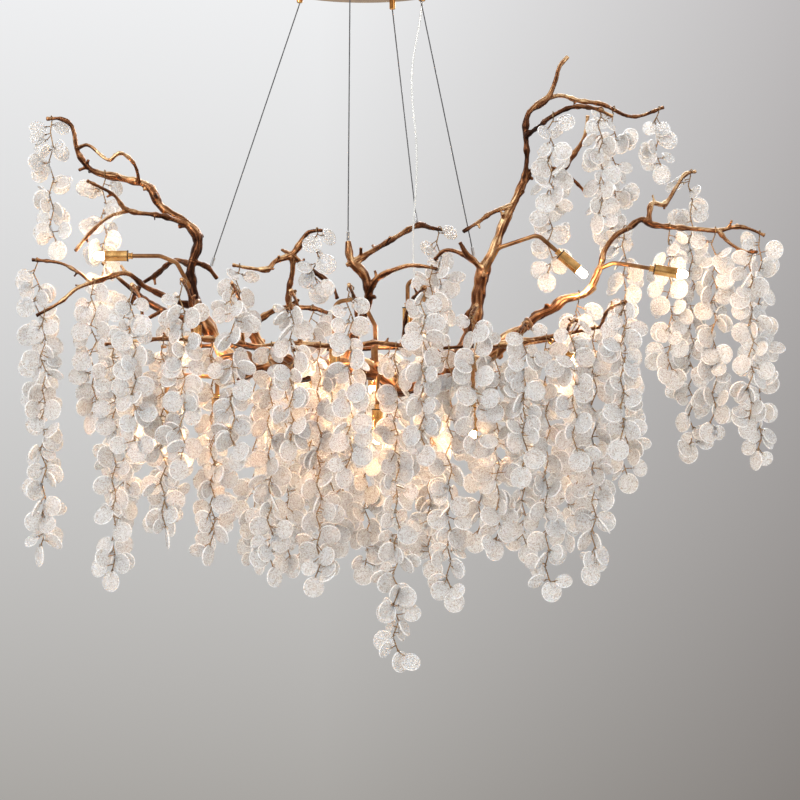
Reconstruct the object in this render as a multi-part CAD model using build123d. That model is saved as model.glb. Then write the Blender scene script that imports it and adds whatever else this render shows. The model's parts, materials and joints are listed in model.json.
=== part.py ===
from build123d import *
import math
import os
import random

# Branch-shaped brass chandelier with garlands of glass discs, hung on four wire ropes.
# Millimetres, +Z up, +X to the viewer's right, +Y away from the viewer.
# The origin is the middle of the ceiling bracket's top face.

# Clearances
FIT_GAP = 0.3              # where two pieces meet without touching
ROPE_GAP = 0.2             # between a rope's end and its ferrule

# Ceiling fitting
CANOPY_RADIUS = 130.0
CANOPY_HEIGHT = 34.0
CANOPY_WALL = 2.0
CANOPY_EDGE = 8.0          # rounding of the lower edge
BRACKET_LENGTH = 190.0
BRACKET_WIDTH = 28.0
BRACKET_THICKNESS = 3.0
SCREW_SPACING = 90.0       # ceiling screws, centre to centre
SCREW_HOLE_RADIUS = 2.75
STUD_SPACING = 150.0       # canopy studs, centre to centre
STUD_RADIUS = 2.4
STUD_REACH = 8.0           # length of stud below the canopy
NUT_RADIUS = 6.5
NUT_HEIGHT = 11.0
TERMINAL_SIZE = (38.0, 17.0, 16.0)
TERMINAL_SCREW_RADIUS = 2.4
GRIP_CIRCLE = 107.0        # radius of the circle of rope grips
GRIP_ANGLES = (166.0, 259.0, 65.0, 326.0)
GRIP_RADIUS = 5.0
GRIP_NECK = 3.6
GRIP_HEIGHT = 15.0
GRIP_INSIDE = 6.0          # length of the neck inside the canopy
CORD_GRIP_RADIUS = 6.0

# Ropes and cord
ROPE_RADIUS = 1.0
FERRULE_RADIUS = 2.3
FERRULE_LENGTH = 14.0
CORD_RADIUS = 1.5
INLET_RADIUS = 5.0
INLET_HEIGHT = 26.0

# Branches
LIMB_SIDES = 9             # flats round a limb
UPRIGHT = 0.9              # rise of a limb's foot above which it counts as upright
SHOOT_RADIUS = 3.6         # foot of a front shoot
SHOOT_TIP_RADIUS = 2.2
SHOOT_FRONT = -214.0       # y of the front shoots' tips
SHOOT_KNEE = (0.3, 0.7)    # where a front shoot bends forward, as shares of its reach and of its rise

# Lamps
ARM_RADIUS = 3.4
ARM_BEND = 16.0
COLLAR_RADIUS = 5.0
COLLAR_LENGTH = 7.0
SLEEVE_RADIUS = 8.5
SLEEVE_LENGTH = 38.0
SLEEVE_WALL = 0.8
SLEEVE_FLOOR = 2.5
HOLDER_INSET = 3.0         # lampholder's mouth below the sleeve's mouth
HOLDER_GAP = 0.2
BULB_BASE_RADIUS = 4.2
BULB_BASE_LENGTH = 9.0
BULB_RADIUS = 5.8
BULB_LENGTH = 20.0
BULB_SHOULDER = 3.0

# Garlands
WIRE_RADIUS = 1.2
WIRE_SIDES = 4
DISC_RADIUS = 17.0
DISC_THICKNESS = 3.0
DISC_BITE = 1.5            # how far a disc's rim reaches over the wire
BEND_STEP = 24.0           # wire length between two bends
FEWEST_BENDS = 3
ZIGZAG = (2.0, 6.0)        # least and most reach of a bend to its side
WAVER = 4.0                # reach of a bend to the front or back
SPREAD = 50.0              # degrees that a disc may turn from the side it leans to
DROOP = (20.0, 50.0)       # least and most degrees that a disc leans down
LAST_DROOP = 80.0          # the lowest disc hangs nearly straight down
TILT = 35.0                # degrees that a disc may turn about its stalk
SHANK = 16.0               # straight wire under the hook
HOOK_STEP = 45.0           # degrees between the points of a hook
HOOK_POINTS = 7
HOOK_SAG = 0.2             # how far a hook hangs below its twig's middle

# Branch limbs as (x, y, z, radius) along their middle, foot first

TRUNK = [(-205, 0, -650, 8), (-150, 0, -632, 12), (-95, 0, -645, 13), (-40, 0, -632, 13), (15, 0, -642, 14),
         (60, 0, -664, 14), (105, 0, -652, 14), (140, 0, -626, 16), (190, 0, -632, 11)]

LEFT_ARCH = [(-190, 0, -645, 8), (-225, 8, -610, 10), (-258, 18, -560, 11.5), (-276, 28, -515, 9.5),
             (-280, 38, -475, 8), (-269, 44, -430, 7), (-288, 48, -402, 7.5), (-330, 54, -374, 6),
             (-350, 57, -342, 6.5), (-395, 60, -328, 5.5), (-440, 60, -316, 5.5), (-464, 56, -288, 4.5),
             (-474, 53, -245, 4), (-490, 53, -233, 3.5), (-516, 56, -232, 2.5)]
LOOP_TWIG = [(-466, 55, -280, 4), (-445, 36, -277, 3.2), (-411, 22, -302, 3), (-392, 20, -291, 3.2),
             (-373, 26, -304, 3), (-366, 40, -322, 3), (-367, 58, -338, 3.2)]
LOWER_TWIG = [(-286, 48, -404, 5), (-325, 22, -392, 4.2), (-379, -5, -384, 4), (-400, -10, -360, 3.2),
              (-442, -15, -338, 2.2)]
HOOK_TWIG = [(-372, -2, -385, 3.5), (-406, -16, -396, 3), (-440, -30, -428, 2.8), (-458, -36, -452, 2)]
ROPE_TWIG = [(-279, 39, -464, 5), (-254, 45, -473, 4), (-238, 50, -492, 2.5)]

SPRAY_FRONT = [(-270, 25, -538, 6), (-296, 5, -531, 5), (-346, -30, -509, 4.5), (-374, -50, -488, 4.5),
               (-411, -65, -498, 4), (-448, -80, -512, 3.6), (-474, -86, -534, 3.2), (-512, -91, -556, 2.2)]
SPRAY_OUTER = [(-428, -72, -504, 3.5), (-450, -50, -487, 3), (-484, -25, -470, 2.8), (-530, -11, -464, 2)]
SPRAY_BACK = [(-255, 18, -563, 7), (-288, 25, -556, 5.5), (-331, 42, -541, 5), (-376, 80, -510, 4.5),
              (-411, 106, -482, 3.5), (-432, 118, -462, 2.2)]
SPRAY_LOW = [(-325, 40, -543, 4), (-346, 20, -556, 3.5), (-366, 8, -570, 3.2), (-390, 2, -577, 2.5)]
SPRAY_HIGH = [(-279, 39, -470, 5), (-309, 70, -461, 4.5), (-342, 105, -482, 4), (-376, 130, -504, 3.6),
              (-390, 140, -536, 3.2), (-408, 146, -548, 2.2)]

MID_LEFT = [(-152, 0, -630, 8), (-181, -12, -573, 8), (-190, -18, -545, 6.5), (-203, -20, -515, 5),
            (-216, -22, -500, 3)]
MID_LEFT_ARM = [(-182, -12, -571, 5.5), (-142, -35, -546, 5), (-117, -50, -542, 5.5), (-77, -66, -544, 4),
                (-56, -72, -551, 2.5)]
MID_LEFT_STEM = [(-117, -50, -542, 5), (-119, -54, -520, 4.5), (-112, -60, -485, 4.5), (-112, -62, -462, 6)]
MID_LEFT_ZIG = [(-206, -78, -476, 2.5), (-171, -74, -482, 4), (-150, -70, -482, 4.5), (-139, -67, -470, 4.5),
                (-112, -62, -458, 6), (-98, -64, -440, 4.5), (-86, -70, -424, 4), (-64, -76, -421, 2.5)]
MID_LEFT_SPUR = [(-130, -52, -450, 2.5), (-112, -62, -461, 5.5), (-90, -52, -478, 4.5), (-62, -40, -496, 4),
                 (-47, -34, -512, 3.5), (-42, -32, -528, 2.2)]

MIDDLE = [(-27, 0, -628, 9), (-22, -8, -608, 8), (-16, -18, -582, 7.5), (4, -26, -543, 7.5),
          (8, -30, -515, 7.5), (0, -32, -488, 7), (-20, -32, -466, 6.5), (-25, -31, -435, 4)]
MIDDLE_RIGHT = [(-28, -32, -474, 4), (-10, -30, -466, 5.5), (10, -20, -453, 5), (43, 10, -432, 4.5),
                (88, 45, -405, 4.5), (106, 62, -408, 4.2), (134, 84, -412, 2.5)]
MIDDLE_LOW = [(8, -30, -520, 5.5), (22, -38, -495, 4.5), (66, -58, -477, 4), (90, -65, -477, 4),
              (116, -72, -482, 2.5)]

RIGHT_TRUNK = [(152, 0, -624, 13), (171, 2, -579, 11), (180, 4, -545, 10), (185, 5, -510, 9),
               (193, 6, -476, 9.5), (210, 10, -442, 8), (224, 18, -405, 7), (240, 25, -372, 6.5),
               (252, 30, -348, 6.5)]
RIGHT_FORK = [(190, 6, -480, 6), (176, 3, -465, 4.5), (165, -4, -456, 4), (153, -10, -436, 2.5)]
RIGHT_SPUR = [(178, 4, -467, 4), (160, 10, -455, 4), (131, 20, -447, 3.5), (113, 30, -462, 2.5)]
RIGHT_SHOOT = [(238, 25, -374, 5), (205, 5, -388, 4), (181, -8, -405, 3.5), (158, -16, -420, 2.2)]

CROWN = [(246, 28, -358, 6), (268, 34, -320, 5.5), (296, 38, -316, 5.5), (320, 38, -315, 5),
         (336, 34, -294, 4.5), (354, 28, -266, 4), (360, 24, -230, 2.5)]
CROWN_HOOP = [(256, 31, -338, 5), (262, 28, -300, 4.5), (260, 28, -250, 5), (266, 30, -224, 5),
              (296, 40, -200, 5), (309, 46, -172, 4.5), (316, 50, -148, 3.8), (330, 54, -131, 2.5)]
CROWN_TOP = [(294, 40, -201, 4.5), (318, 58, -194, 4), (350, 82, -200, 3.8), (390, 100, -204, 3.6),
             (429, 110, -221, 3.6), (453, 115, -221, 3.2), (492, 119, -206, 2.2)]
CROWN_FRONT = [(260, 28, -262, 4.5), (278, 0, -252, 4), (296, -38, -240, 4), (330, -42, -224, 3.8),
               (366, -32, -225, 3.6), (396, -18, -236, 2.4)]
CROWN_SPUR = [(318, 38, -316, 4), (338, 52, -331, 3.2), (358, 60, -350, 2)]

RIGHT_BOUGH = [(180, 0, -630, 9), (210, 0, -609, 9), (236, 0, -584, 10), (258, 0, -572, 8), (276, 0, -554, 9),
               (302, 0, -542, 7.5), (318, 0, -528, 8), (349, 0, -520, 6.5), (368, 2, -505, 6)]

FAR_RIGHT = [(364, 2, -508, 5), (380, 8, -470, 5), (386, 12, -448, 5), (406, 25, -422, 5),
             (426, 36, -411, 4.5), (448, 48, -396, 5), (468, 56, -404, 5), (504, 57, -408, 4.5),
             (540, 58, -411, 4.2), (575, 59, -413, 4.5), (603, 60, -407, 3.8), (624, 60, -410, 3.2),
             (650, 61, -421, 2.2)]
FAR_SPRIG = [(460, 53, -398, 4.5), (466, 62, -370, 4.5), (490, 88, -368, 4.5), (510, 110, -340, 3.8),
             (528, 124, -316, 3.4), (546, 132, -311, 2.2)]
FAR_SHOOT = [(573, 59, -413, 4), (590, 30, -436, 3.4), (610, 4, -450, 3), (626, -18, -452, 2)]

FRONT_LEFT = [(-97, 0, -645, 7), (-125, -60, -619, 6), (-190, -125, -601, 5), (-240, -142, -594, 4.5),
              (-320, -143, -594, 4), (-400, -134, -602, 2.5)]
FRONT_MIDDLE = [(-10, 0, -637, 7), (-8, -70, -617, 6), (-22, -138, -606, 5.5)]
FRONT_MIDDLE_BAR = [(-156, -150, -604, 2.5), (-110, -150, -600, 4), (-60, -144, -604, 4.5),
                    (-22, -138, -606, 5.5), (20, -146, -600, 4.5), (66, -152, -605, 2.5)]
FRONT_RIGHT = [(222, 0, -597, 7), (232, -70, -600, 6), (216, -134, -602, 5.5)]
FRONT_RIGHT_BAR = [(124, -138, -608, 2.5), (170, -138, -604, 4), (216, -134, -602, 5.5),
                   (290, -138, -590, 4.5), (372, -120, -574, 2.5)]


def front_shoot(x, y, z, lean, rise):
    """Twig that rises from a front bar and then bends forward, leaning to one side."""
    reach = SHOOT_FRONT - y
    out, up = SHOOT_KNEE
    knee = (x + out * lean, y + out * reach, z + up * rise, (SHOOT_RADIUS + SHOOT_TIP_RADIUS) / 2)
    return [(x, y, z, SHOOT_RADIUS), knee, (x + lean, SHOOT_FRONT, z + rise, SHOOT_TIP_RADIUS)]


LEFT_SHOOTS = [front_shoot(-338, -141, -596, -12, 84), front_shoot(-262, -143, -594, -12, 90),
               front_shoot(-186, -122, -602, -12, 92)]
MIDDLE_SHOOTS = [front_shoot(-96, -148, -601, -12, 80), front_shoot(-8, -140, -604, -12, 92),
                 front_shoot(61, -151, -604, 35, 88)]
RIGHT_SHOOTS = [front_shoot(164, -138, -604, 10, 60), front_shoot(240, -136, -598, 10, 28),
                front_shoot(316, -132, -585, 10, 18), front_shoot(369, -121, -575, 31, 36)]

BACK_LEFT = [(-150, 0, -632, 7), (-158, 70, -613, 6), (-185, 136, -600, 5), (-255, 148, -598, 4.5),
             (-338, 142, -600, 2.5)]
BACK_MIDDLE = [(-62, 0, -637, 7), (-58, 70, -617, 6), (-40, 140, -605, 5.5)]
BACK_MIDDLE_BAR = [(-122, 142, -606, 2.5), (-80, 146, -602, 4), (-40, 140, -605, 5.5), (40, 148, -601, 4.5),
                   (126, 144, -606, 2.5)]
BACK_RIGHT = [(174, 0, -630, 7), (180, 70, -612, 6), (196, 138, -601, 5), (262, 148, -594, 4.5),
              (346, 140, -584, 2.5)]

# Boughs: each casting's limbs, and the castings that its feet are brazed to
BOUGHS = {
    "trunk": ([[TRUNK]], []),
    "left_crown": ([[LEFT_ARCH, LOOP_TWIG, LOWER_TWIG, HOOK_TWIG, ROPE_TWIG]], [TRUNK]),
    "left_sprays": ([[SPRAY_FRONT, SPRAY_OUTER], [SPRAY_BACK, SPRAY_LOW], [SPRAY_HIGH]],
                    [LEFT_ARCH, ROPE_TWIG]),
    "mid_left_bough": ([[MID_LEFT, MID_LEFT_ARM, MID_LEFT_STEM, MID_LEFT_ZIG, MID_LEFT_SPUR]], [TRUNK]),
    "middle_bough": ([[MIDDLE, MIDDLE_RIGHT, MIDDLE_LOW]], [TRUNK]),
    "right_trunk": ([[RIGHT_TRUNK, RIGHT_FORK, RIGHT_SPUR, RIGHT_SHOOT]], [TRUNK]),
    "right_crown": ([[CROWN, CROWN_HOOP, CROWN_TOP, CROWN_FRONT, CROWN_SPUR]], [RIGHT_TRUNK]),
    "right_bough": ([[RIGHT_BOUGH]], [TRUNK, RIGHT_TRUNK]),
    "far_right_twig": ([[FAR_RIGHT, FAR_SPRIG, FAR_SHOOT]], [RIGHT_BOUGH]),
    "front_boughs": ([[FRONT_LEFT] + LEFT_SHOOTS, [FRONT_MIDDLE, FRONT_MIDDLE_BAR] + MIDDLE_SHOOTS,
                      [FRONT_RIGHT, FRONT_RIGHT_BAR] + RIGHT_SHOOTS], [TRUNK, RIGHT_BOUGH]),
    "back_boughs": ([[BACK_LEFT], [BACK_MIDDLE, BACK_MIDDLE_BAR], [BACK_RIGHT]],
                    [TRUNK, MID_LEFT, RIGHT_TRUNK, RIGHT_BOUGH]),
}

# Lamps: arm points from the bough to the collar, and the way the lamp points
DOWN = (0, 0, -1)
LEFTWARD = (-1, 0, 0)


def slanted(degrees):
    """Direction to the right, this far below the horizontal."""
    return (math.cos(math.radians(degrees)), 0, -math.sin(math.radians(degrees)))


LAMPS = {
    "left_crown": ([(-276, 28, -515), (-300, 4, -468), (-325, -10, -458), (-369, -10, -458)], LEFTWARD),
    "left_foot": ([(-260, 19, -554), (-263, 0, -530), (-266, -28, -530), (-266, -28, -560)], DOWN),
    "left_front": ([(-172, 0, -640), (-182, -42, -612), (-229, -85, -622), (-229, -85, -678)], DOWN),
    "left_low": ([(-188, 0, -645), (-225, -18, -652), (-296, -20, -648), (-314, -20, -668),
                  (-314, -20, -695)], DOWN),
    "middle_left": ([(20, 0, -642), (18, -45, -570), (-4, -82, -528), (-45, -95, -535),
                     (-45, -95, -590)], DOWN),
    "middle_back": ([(15, 0, -642), (15, 26, -596), (14, 55, -590), (14, 55, -620)], DOWN),
    "middle_front": ([(58, 0, -663), (54, -44, -640), (22, -78, -648), (22, -78, -695)], DOWN),
    "middle_right": ([(120, 0, -643), (106, 35, -560), (88, 66, -492), (70, 72, -496), (70, 72, -530)], DOWN),
    "right_front": ([(165, 0, -628), (168, -44, -604), (172, -78, -622), (172, -78, -692)], DOWN),
    "right_high": ([(186, 5, -498), (214, -22, -446), (276, -40, -426), (306, -40, -452)], slanted(41)),
    "far_right": ([(377, 7, -478), (398, -8, -469), (426, -15, -473), (455, -15, -478)], slanted(10)),
    "right_low": ([(256, 0, -573), (258, -45, -558), (271, -72, -580.5), (292, -72, -594)], slanted(33)),
}
ARM_CARRIERS = [TRUNK, LEFT_ARCH, MID_LEFT, RIGHT_TRUNK, RIGHT_BOUGH, FAR_RIGHT]

# Garlands that swing: the limb that each hangs from, its place along X and its length
SWINGING = {
    "garland_left_long": (SPRAY_FRONT, -500, 385),
    "garland_left_outer": (SPRAY_OUTER, -520, 245),
    "garland_left_crown": (LEFT_ARCH, -506, 215),
    "garland_front_1": (FRONT_LEFT, -385, 370),
    "garland_front_2": (FRONT_LEFT, -308, 310),
    "garland_front_3": (FRONT_LEFT, -231, 335),
    "garland_front_4": (FRONT_MIDDLE_BAR, -142, 360),
    "garland_front_5": (FRONT_MIDDLE_BAR, -66, 375),
    "garland_front_long": (FRONT_MIDDLE_BAR, 52, 490),
    "garland_front_6": (FRONT_RIGHT_BAR, 134, 395),
    "garland_front_7": (FRONT_RIGHT_BAR, 209, 320),
    "garland_front_8": (FRONT_RIGHT_BAR, 285, 395),
    "garland_front_9": (FRONT_RIGHT_BAR, 360, 385),
    "garland_right_tip": (FAR_RIGHT, 642, 370),
    "garland_right_sprig": (FAR_SPRIG, 538, 465),
    "garland_crown_tip": (CROWN_TOP, 484, 110),
}

# Garlands whose wire is wound fast on its twig, in groups
WOUND = {
    "garlands_left": [(SPRAY_FRONT, -424, 225), (LEFT_ARCH, -422, 235), (SPRAY_HIGH, -400, 330),
                      (SPRAY_LOW, -383, 285), (SPRAY_BACK, -312, 300), (LEFT_SHOOTS[0], -348, 250),
                      (LEFT_SHOOTS[1], -272, 285), (LEFT_SHOOTS[2], -196, 265)],
    "garlands_middle": [(MID_LEFT_ZIG, -194, 100), (MID_LEFT_ARM, -80, 310), (MID_LEFT_ZIG, -72, 100),
                        (MIDDLE_LOW, 107, 320), (MIDDLE_RIGHT, 123, 175), (TRUNK, -122, 320),
                        (TRUNK, -50, 300), (TRUNK, 4, 330), (TRUNK, 106, 310), (MIDDLE_SHOOTS[0], -106, 240),
                        (MIDDLE_SHOOTS[1], -18, 290), (MIDDLE_SHOOTS[2], 93, 255)],
    "garlands_back": [(BACK_LEFT, -326, 300), (BACK_LEFT, -252, 330), (BACK_LEFT, -181, 360),
                      (BACK_MIDDLE_BAR, -110, 350), (BACK_MIDDLE_BAR, -35, 330), (BACK_MIDDLE_BAR, 40, 345),
                      (BACK_MIDDLE_BAR, 115, 310), (BACK_RIGHT, 190, 320), (BACK_RIGHT, 262, 350),
                      (BACK_RIGHT, 334, 340)],
    "garlands_right": [(RIGHT_BOUGH, 343, 370), (FAR_RIGHT, 420, 410), (FAR_RIGHT, 496, 250),
                       (FAR_RIGHT, 568, 330), (FAR_SHOOT, 618, 285), (RIGHT_SHOOTS[0], 172.5, 215),
                       (RIGHT_SHOOTS[1], 248, 235), (RIGHT_SHOOTS[2], 324, 215), (RIGHT_SHOOTS[3], 397, 225)],
    "garlands_crown": [(CROWN_FRONT, 300, 140), (CROWN, 301, 185), (CROWN_FRONT, 378, 180),
                       (CROWN_TOP, 408, 230)],
}

# Ropes, in the order of the grips: the limb that each is tied to and its place along X;
# the front one is tied to the middle bough's tip
ROPES = {
    "rope_left": (ROPE_TWIG, -252),
    "rope_front": None,
    "rope_back": (MIDDLE_RIGHT, 87),
    "rope_right": (RIGHT_FORK, 173),
}

# Middle line of the power cord, from the canopy to the trunk
CORD_ROUTE = [(93, 8, -50), (91, 8, -76), (82, 10, -118), (76, 12, -163), (77, 14, -208), (83, 16, -255),
              (85, 17, -305), (83, 18, -354), (79, 18, -402), (78, 17, -450), (81, 14, -500), (86, 10, -548),
              (90, 5, -592), (92, 2, -624)]


def unit(a, b):
    """Direction from one point to the next."""
    return (Vector(*b[:3]) - Vector(*a[:3])).normalized()


def carried(vector, way, next_way):
    """A vector turned with the least rotation from one direction to the next."""
    hinge = way.cross(next_way)
    return vector + hinge.cross(vector) + hinge.cross(hinge.cross(vector)) / (1 + way.dot(next_way))


def tube(points, sides, grow=0.0):
    """Solid of straight-sided sections along (x, y, z, radius) points, with an edge on top."""
    last = len(points) - 1
    way = unit(points[0], points[1])
    side = way.cross(Vector(0, 0, 1) if abs(way.Z) < UPRIGHT else Vector(1, 0, 0)).normalized()
    wires = []
    for i, (x, y, z, radius) in enumerate(points):
        before = unit(points[max(i - 1, 0)], points[max(i, 1)])
        after = unit(points[min(i, last - 1)], points[min(i + 1, last)])
        along = (before + after).normalized()
        side = carried(side, way, along)
        way = along
        over = along.cross(side)
        corners = []
        for k in range(sides):
            turn = 2 * math.pi * k / sides - math.pi / 2
            spoke = side * math.cos(turn) + over * math.sin(turn)
            corners.append(Vector(x, y, z) + spoke * (radius + grow))
        wires.append(Wire.make_polygon(corners, close=True))
    return Solid.make_loft(wires, ruled=True)


def joined(solids):
    """One shape fused from several solids."""
    return Part() + solids


def cleared(shape, carriers):
    """A shape cut back from the limbs that carry it, with the fit gap."""
    for carrier in carriers:
        shape = shape - tube(carrier, LIMB_SIDES, FIT_GAP)
    return shape


def largest(shape):
    """The main solid of a shape that a cut may have trimmed."""
    return max(shape.solids(), key=lambda solid: solid.volume)


def rod(radius, start, way, length):
    """Round bar from a point along a direction."""
    return Solid.make_cylinder(radius, length, Plane(origin=start, z_dir=way))


def place_on(limb, x):
    """Centre, radius and direction of a limb where it crosses x."""
    for a, b in zip(limb, limb[1:]):
        if min(a[0], b[0]) <= x <= max(a[0], b[0]):
            share = (x - a[0]) / (b[0] - a[0])
            centre = Vector(*a[:3]) + (Vector(*b[:3]) - Vector(*a[:3])) * share
            return centre, a[3] + (b[3] - a[3]) * share, unit(a, b)
    raise ValueError(f"no place at x = {x} on the limb")


def bough(groups, carriers):
    """A casting's limbs fused, its feet cut to the castings that carry it."""
    castings = [joined([tube(limb, LIMB_SIDES) for limb in group]) for group in groups]
    return [largest(cleared(casting, carriers)) for casting in castings]


def canopy():
    """Shallow cup, open to the ceiling, with holes for studs, grips and cord."""
    cup = Pos(0, 0, -CANOPY_HEIGHT / 2) * Cylinder(CANOPY_RADIUS, CANOPY_HEIGHT)
    cup = fillet(cup.edges().group_by(Axis.Z)[0], CANOPY_EDGE)
    hollow_depth = CANOPY_HEIGHT - CANOPY_WALL
    hollow = Pos(0, 0, -hollow_depth / 2) * Cylinder(CANOPY_RADIUS - CANOPY_WALL, hollow_depth)
    hollow = fillet(hollow.edges().group_by(Axis.Z)[0], CANOPY_EDGE - CANOPY_WALL)
    cup = cup - hollow
    for x, y in grip_places():
        cup = cup - Pos(x, y, -CANOPY_HEIGHT) * Cylinder(GRIP_NECK + FIT_GAP, 4 * CANOPY_WALL)
    for x in (-STUD_SPACING / 2, STUD_SPACING / 2):
        cup = cup - Pos(x, 0, -CANOPY_HEIGHT) * Cylinder(STUD_RADIUS + FIT_GAP, 4 * CANOPY_WALL)
    x, y, _ = CORD_ROUTE[0]
    return cup - Pos(x, y, -CANOPY_HEIGHT) * Cylinder(GRIP_NECK + FIT_GAP, 4 * CANOPY_WALL)


def grip_places():
    """Plan positions of the four rope grips."""
    return [(GRIP_CIRCLE * math.cos(math.radians(a)), GRIP_CIRCLE * math.sin(math.radians(a)))
            for a in GRIP_ANGLES]


def bracket():
    """Crossbar for the ceiling with two holes and two studs."""
    bar = Pos(0, 0, -BRACKET_THICKNESS / 2) * Box(BRACKET_LENGTH, BRACKET_WIDTH, BRACKET_THICKNESS)
    bar = fillet(bar.edges().filter_by(Axis.Z), BRACKET_WIDTH / 4)
    for side in (-1, 1):
        hole = Cylinder(SCREW_HOLE_RADIUS, 4 * BRACKET_THICKNESS)
        bar = bar - Pos(side * SCREW_SPACING / 2, 0, 0) * hole
        top = (side * STUD_SPACING / 2, 0, -BRACKET_THICKNESS / 2)
        bar = bar + rod(STUD_RADIUS, top, DOWN, CANOPY_HEIGHT + STUD_REACH - BRACKET_THICKNESS / 2)
    return bar


def cap_nuts():
    """Domed nuts that hold the canopy on its studs."""
    nuts = []
    bore_depth = STUD_REACH + FIT_GAP
    for side in (-1, 1):
        x = side * STUD_SPACING / 2
        nut = Pos(x, 0, -CANOPY_HEIGHT - NUT_HEIGHT / 2) * Cylinder(NUT_RADIUS, NUT_HEIGHT)
        nut = fillet(nut.edges().group_by(Axis.Z)[0], NUT_HEIGHT / 3)
        bore = Cylinder(STUD_RADIUS + FIT_GAP, bore_depth)
        nuts.append(nut - Pos(x, 0, -CANOPY_HEIGHT - bore_depth / 2) * bore)
    return nuts


def through_grip(x, y, radius):
    """Gland through the canopy's floor: neck, lock nut inside and body outside."""
    floor = -CANOPY_HEIGHT
    body = Pos(x, y, floor - GRIP_HEIGHT / 2) * Cylinder(radius, GRIP_HEIGHT)
    body = chamfer(body.edges().group_by(Axis.Z)[0], radius / 3)
    neck_length = GRIP_HEIGHT / 2 + CANOPY_WALL + GRIP_INSIDE
    neck = rod(GRIP_NECK, (x, y, floor - GRIP_HEIGHT / 2), (0, 0, 1), neck_length)
    lock_nut = rod(radius, (x, y, floor + CANOPY_WALL), (0, 0, 1), GRIP_INSIDE / 2)
    return body + neck + lock_nut


def terminal_block():
    """Connector block beside the bracket, on the canopy's floor."""
    length, width, height = TERMINAL_SIZE
    y = -BRACKET_WIDTH / 2 - width
    floor = -CANOPY_HEIGHT + CANOPY_WALL
    block = Pos(0, y, floor + height / 2) * Box(length, width, height)
    for k in (-1, 0, 1):
        screw_well = Cylinder(TERMINAL_SCREW_RADIUS, height)
        block = block - Pos(k * length / 3, y, floor + height) * screw_well
    return block


def rope_and_ferrule(spot, grip):
    """Straight rope and the crimped ferrule that ties it to a twig by an eye, or to a bough's tip."""
    top = Vector(grip[0], grip[1], -CANOPY_HEIGHT - GRIP_HEIGHT - 2 * FIT_GAP)
    if spot is None:
        x, y, z, _ = MIDDLE[-1]
        foot = Vector(x, y, z + 3 * FIT_GAP)
        way = (top - foot).normalized()
        ferrule = rod(FERRULE_RADIUS, foot, way, FERRULE_LENGTH)
    else:
        centre, radius, along = place_on(*spot)
        eye_radius = radius + FIT_GAP + ROPE_RADIUS
        rise = (top - centre).normalized()
        crest = centre + (rise - along * rise.dot(along)).normalized() * eye_radius
        way = (top - crest).normalized()
        foot = crest + way * ROPE_RADIUS
        eye = Solid.make_torus(eye_radius, ROPE_RADIUS, Plane(origin=centre, z_dir=along))
        ferrule = largest(Part() + eye + rod(FERRULE_RADIUS, foot, way, FERRULE_LENGTH))
    low = foot + way * (FERRULE_LENGTH + ROPE_GAP)
    return rod(ROPE_RADIUS, low, way, (top - low).length), ferrule


def bend_radii(route, share=0.45):
    """Largest tangent arcs that the runs of a route leave room for."""
    radii = []
    for a, b, c in zip(route, route[1:], route[2:]):
        first = Vector(*b) - Vector(*a)
        second = Vector(*c) - Vector(*b)
        half_turn = math.radians(first.get_angle(second)) / 2
        radii.append(share * min(first.length, second.length) / math.tan(half_turn))
    return radii


def swept(route, radii, radius):
    """Round bar along straight runs and tangent arcs."""
    path = FilletPolyline(*route, radius=radii)
    section = Plane(origin=path @ 0, z_dir=path % 0) * Circle(radius)
    return sweep(section, path=path)


def lamp_arm(points):
    """Curved tube from a bough to a lamp's collar."""
    radii = [min(ARM_BEND, r) for r in bend_radii(points)]
    return largest(cleared(swept(points, radii, ARM_RADIUS), ARM_CARRIERS))


def lamp_sleeve(start, way):
    """Brass sleeve with its collar, open towards the bulb."""
    collar = rod(COLLAR_RADIUS, start, way, COLLAR_LENGTH + SLEEVE_FLOOR / 2)
    mouth = Vector(*start) + Vector(*way) * COLLAR_LENGTH
    outer = rod(SLEEVE_RADIUS, mouth, way, SLEEVE_LENGTH)
    bore = rod(SLEEVE_RADIUS - SLEEVE_WALL, mouth + Vector(*way) * SLEEVE_FLOOR, way, SLEEVE_LENGTH)
    return (Part() + outer - bore) + collar


def lampholder(start, way):
    """Insulating holder inside the sleeve, bored for the bulb's base."""
    way = Vector(*way)
    foot = Vector(*start) + way * (COLLAR_LENGTH + SLEEVE_FLOOR)
    length = SLEEVE_LENGTH - SLEEVE_FLOOR - HOLDER_INSET
    body = rod(SLEEVE_RADIUS - SLEEVE_WALL - HOLDER_GAP, foot, way, length)
    depth = BULB_BASE_LENGTH + FIT_GAP
    bore = rod(BULB_BASE_RADIUS + FIT_GAP, foot + way * (length - depth), way, depth)
    return Part() + body - bore


def bulb(start, way):
    """Plug-in lamp: round base, shoulder and domed glass."""
    seat = Vector(*start) + Vector(*way) * (COLLAR_LENGTH + SLEEVE_LENGTH - HOLDER_INSET + FIT_GAP)
    dome_foot = BULB_LENGTH - BULB_RADIUS
    profile = Polyline((0, -BULB_BASE_LENGTH), (BULB_BASE_RADIUS, -BULB_BASE_LENGTH), (BULB_BASE_RADIUS, 0),
                       (BULB_RADIUS, BULB_SHOULDER), (BULB_RADIUS, dome_foot))
    crown = CenterArc((0, dome_foot), BULB_RADIUS, 0, 90)
    axis_line = Line((0, BULB_LENGTH), (0, -BULB_BASE_LENGTH))
    face = make_face([profile, crown, axis_line])
    solid = revolve(Plane.XZ * face, Axis.Z)
    return Plane(origin=seat, z_dir=way).location * solid


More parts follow.
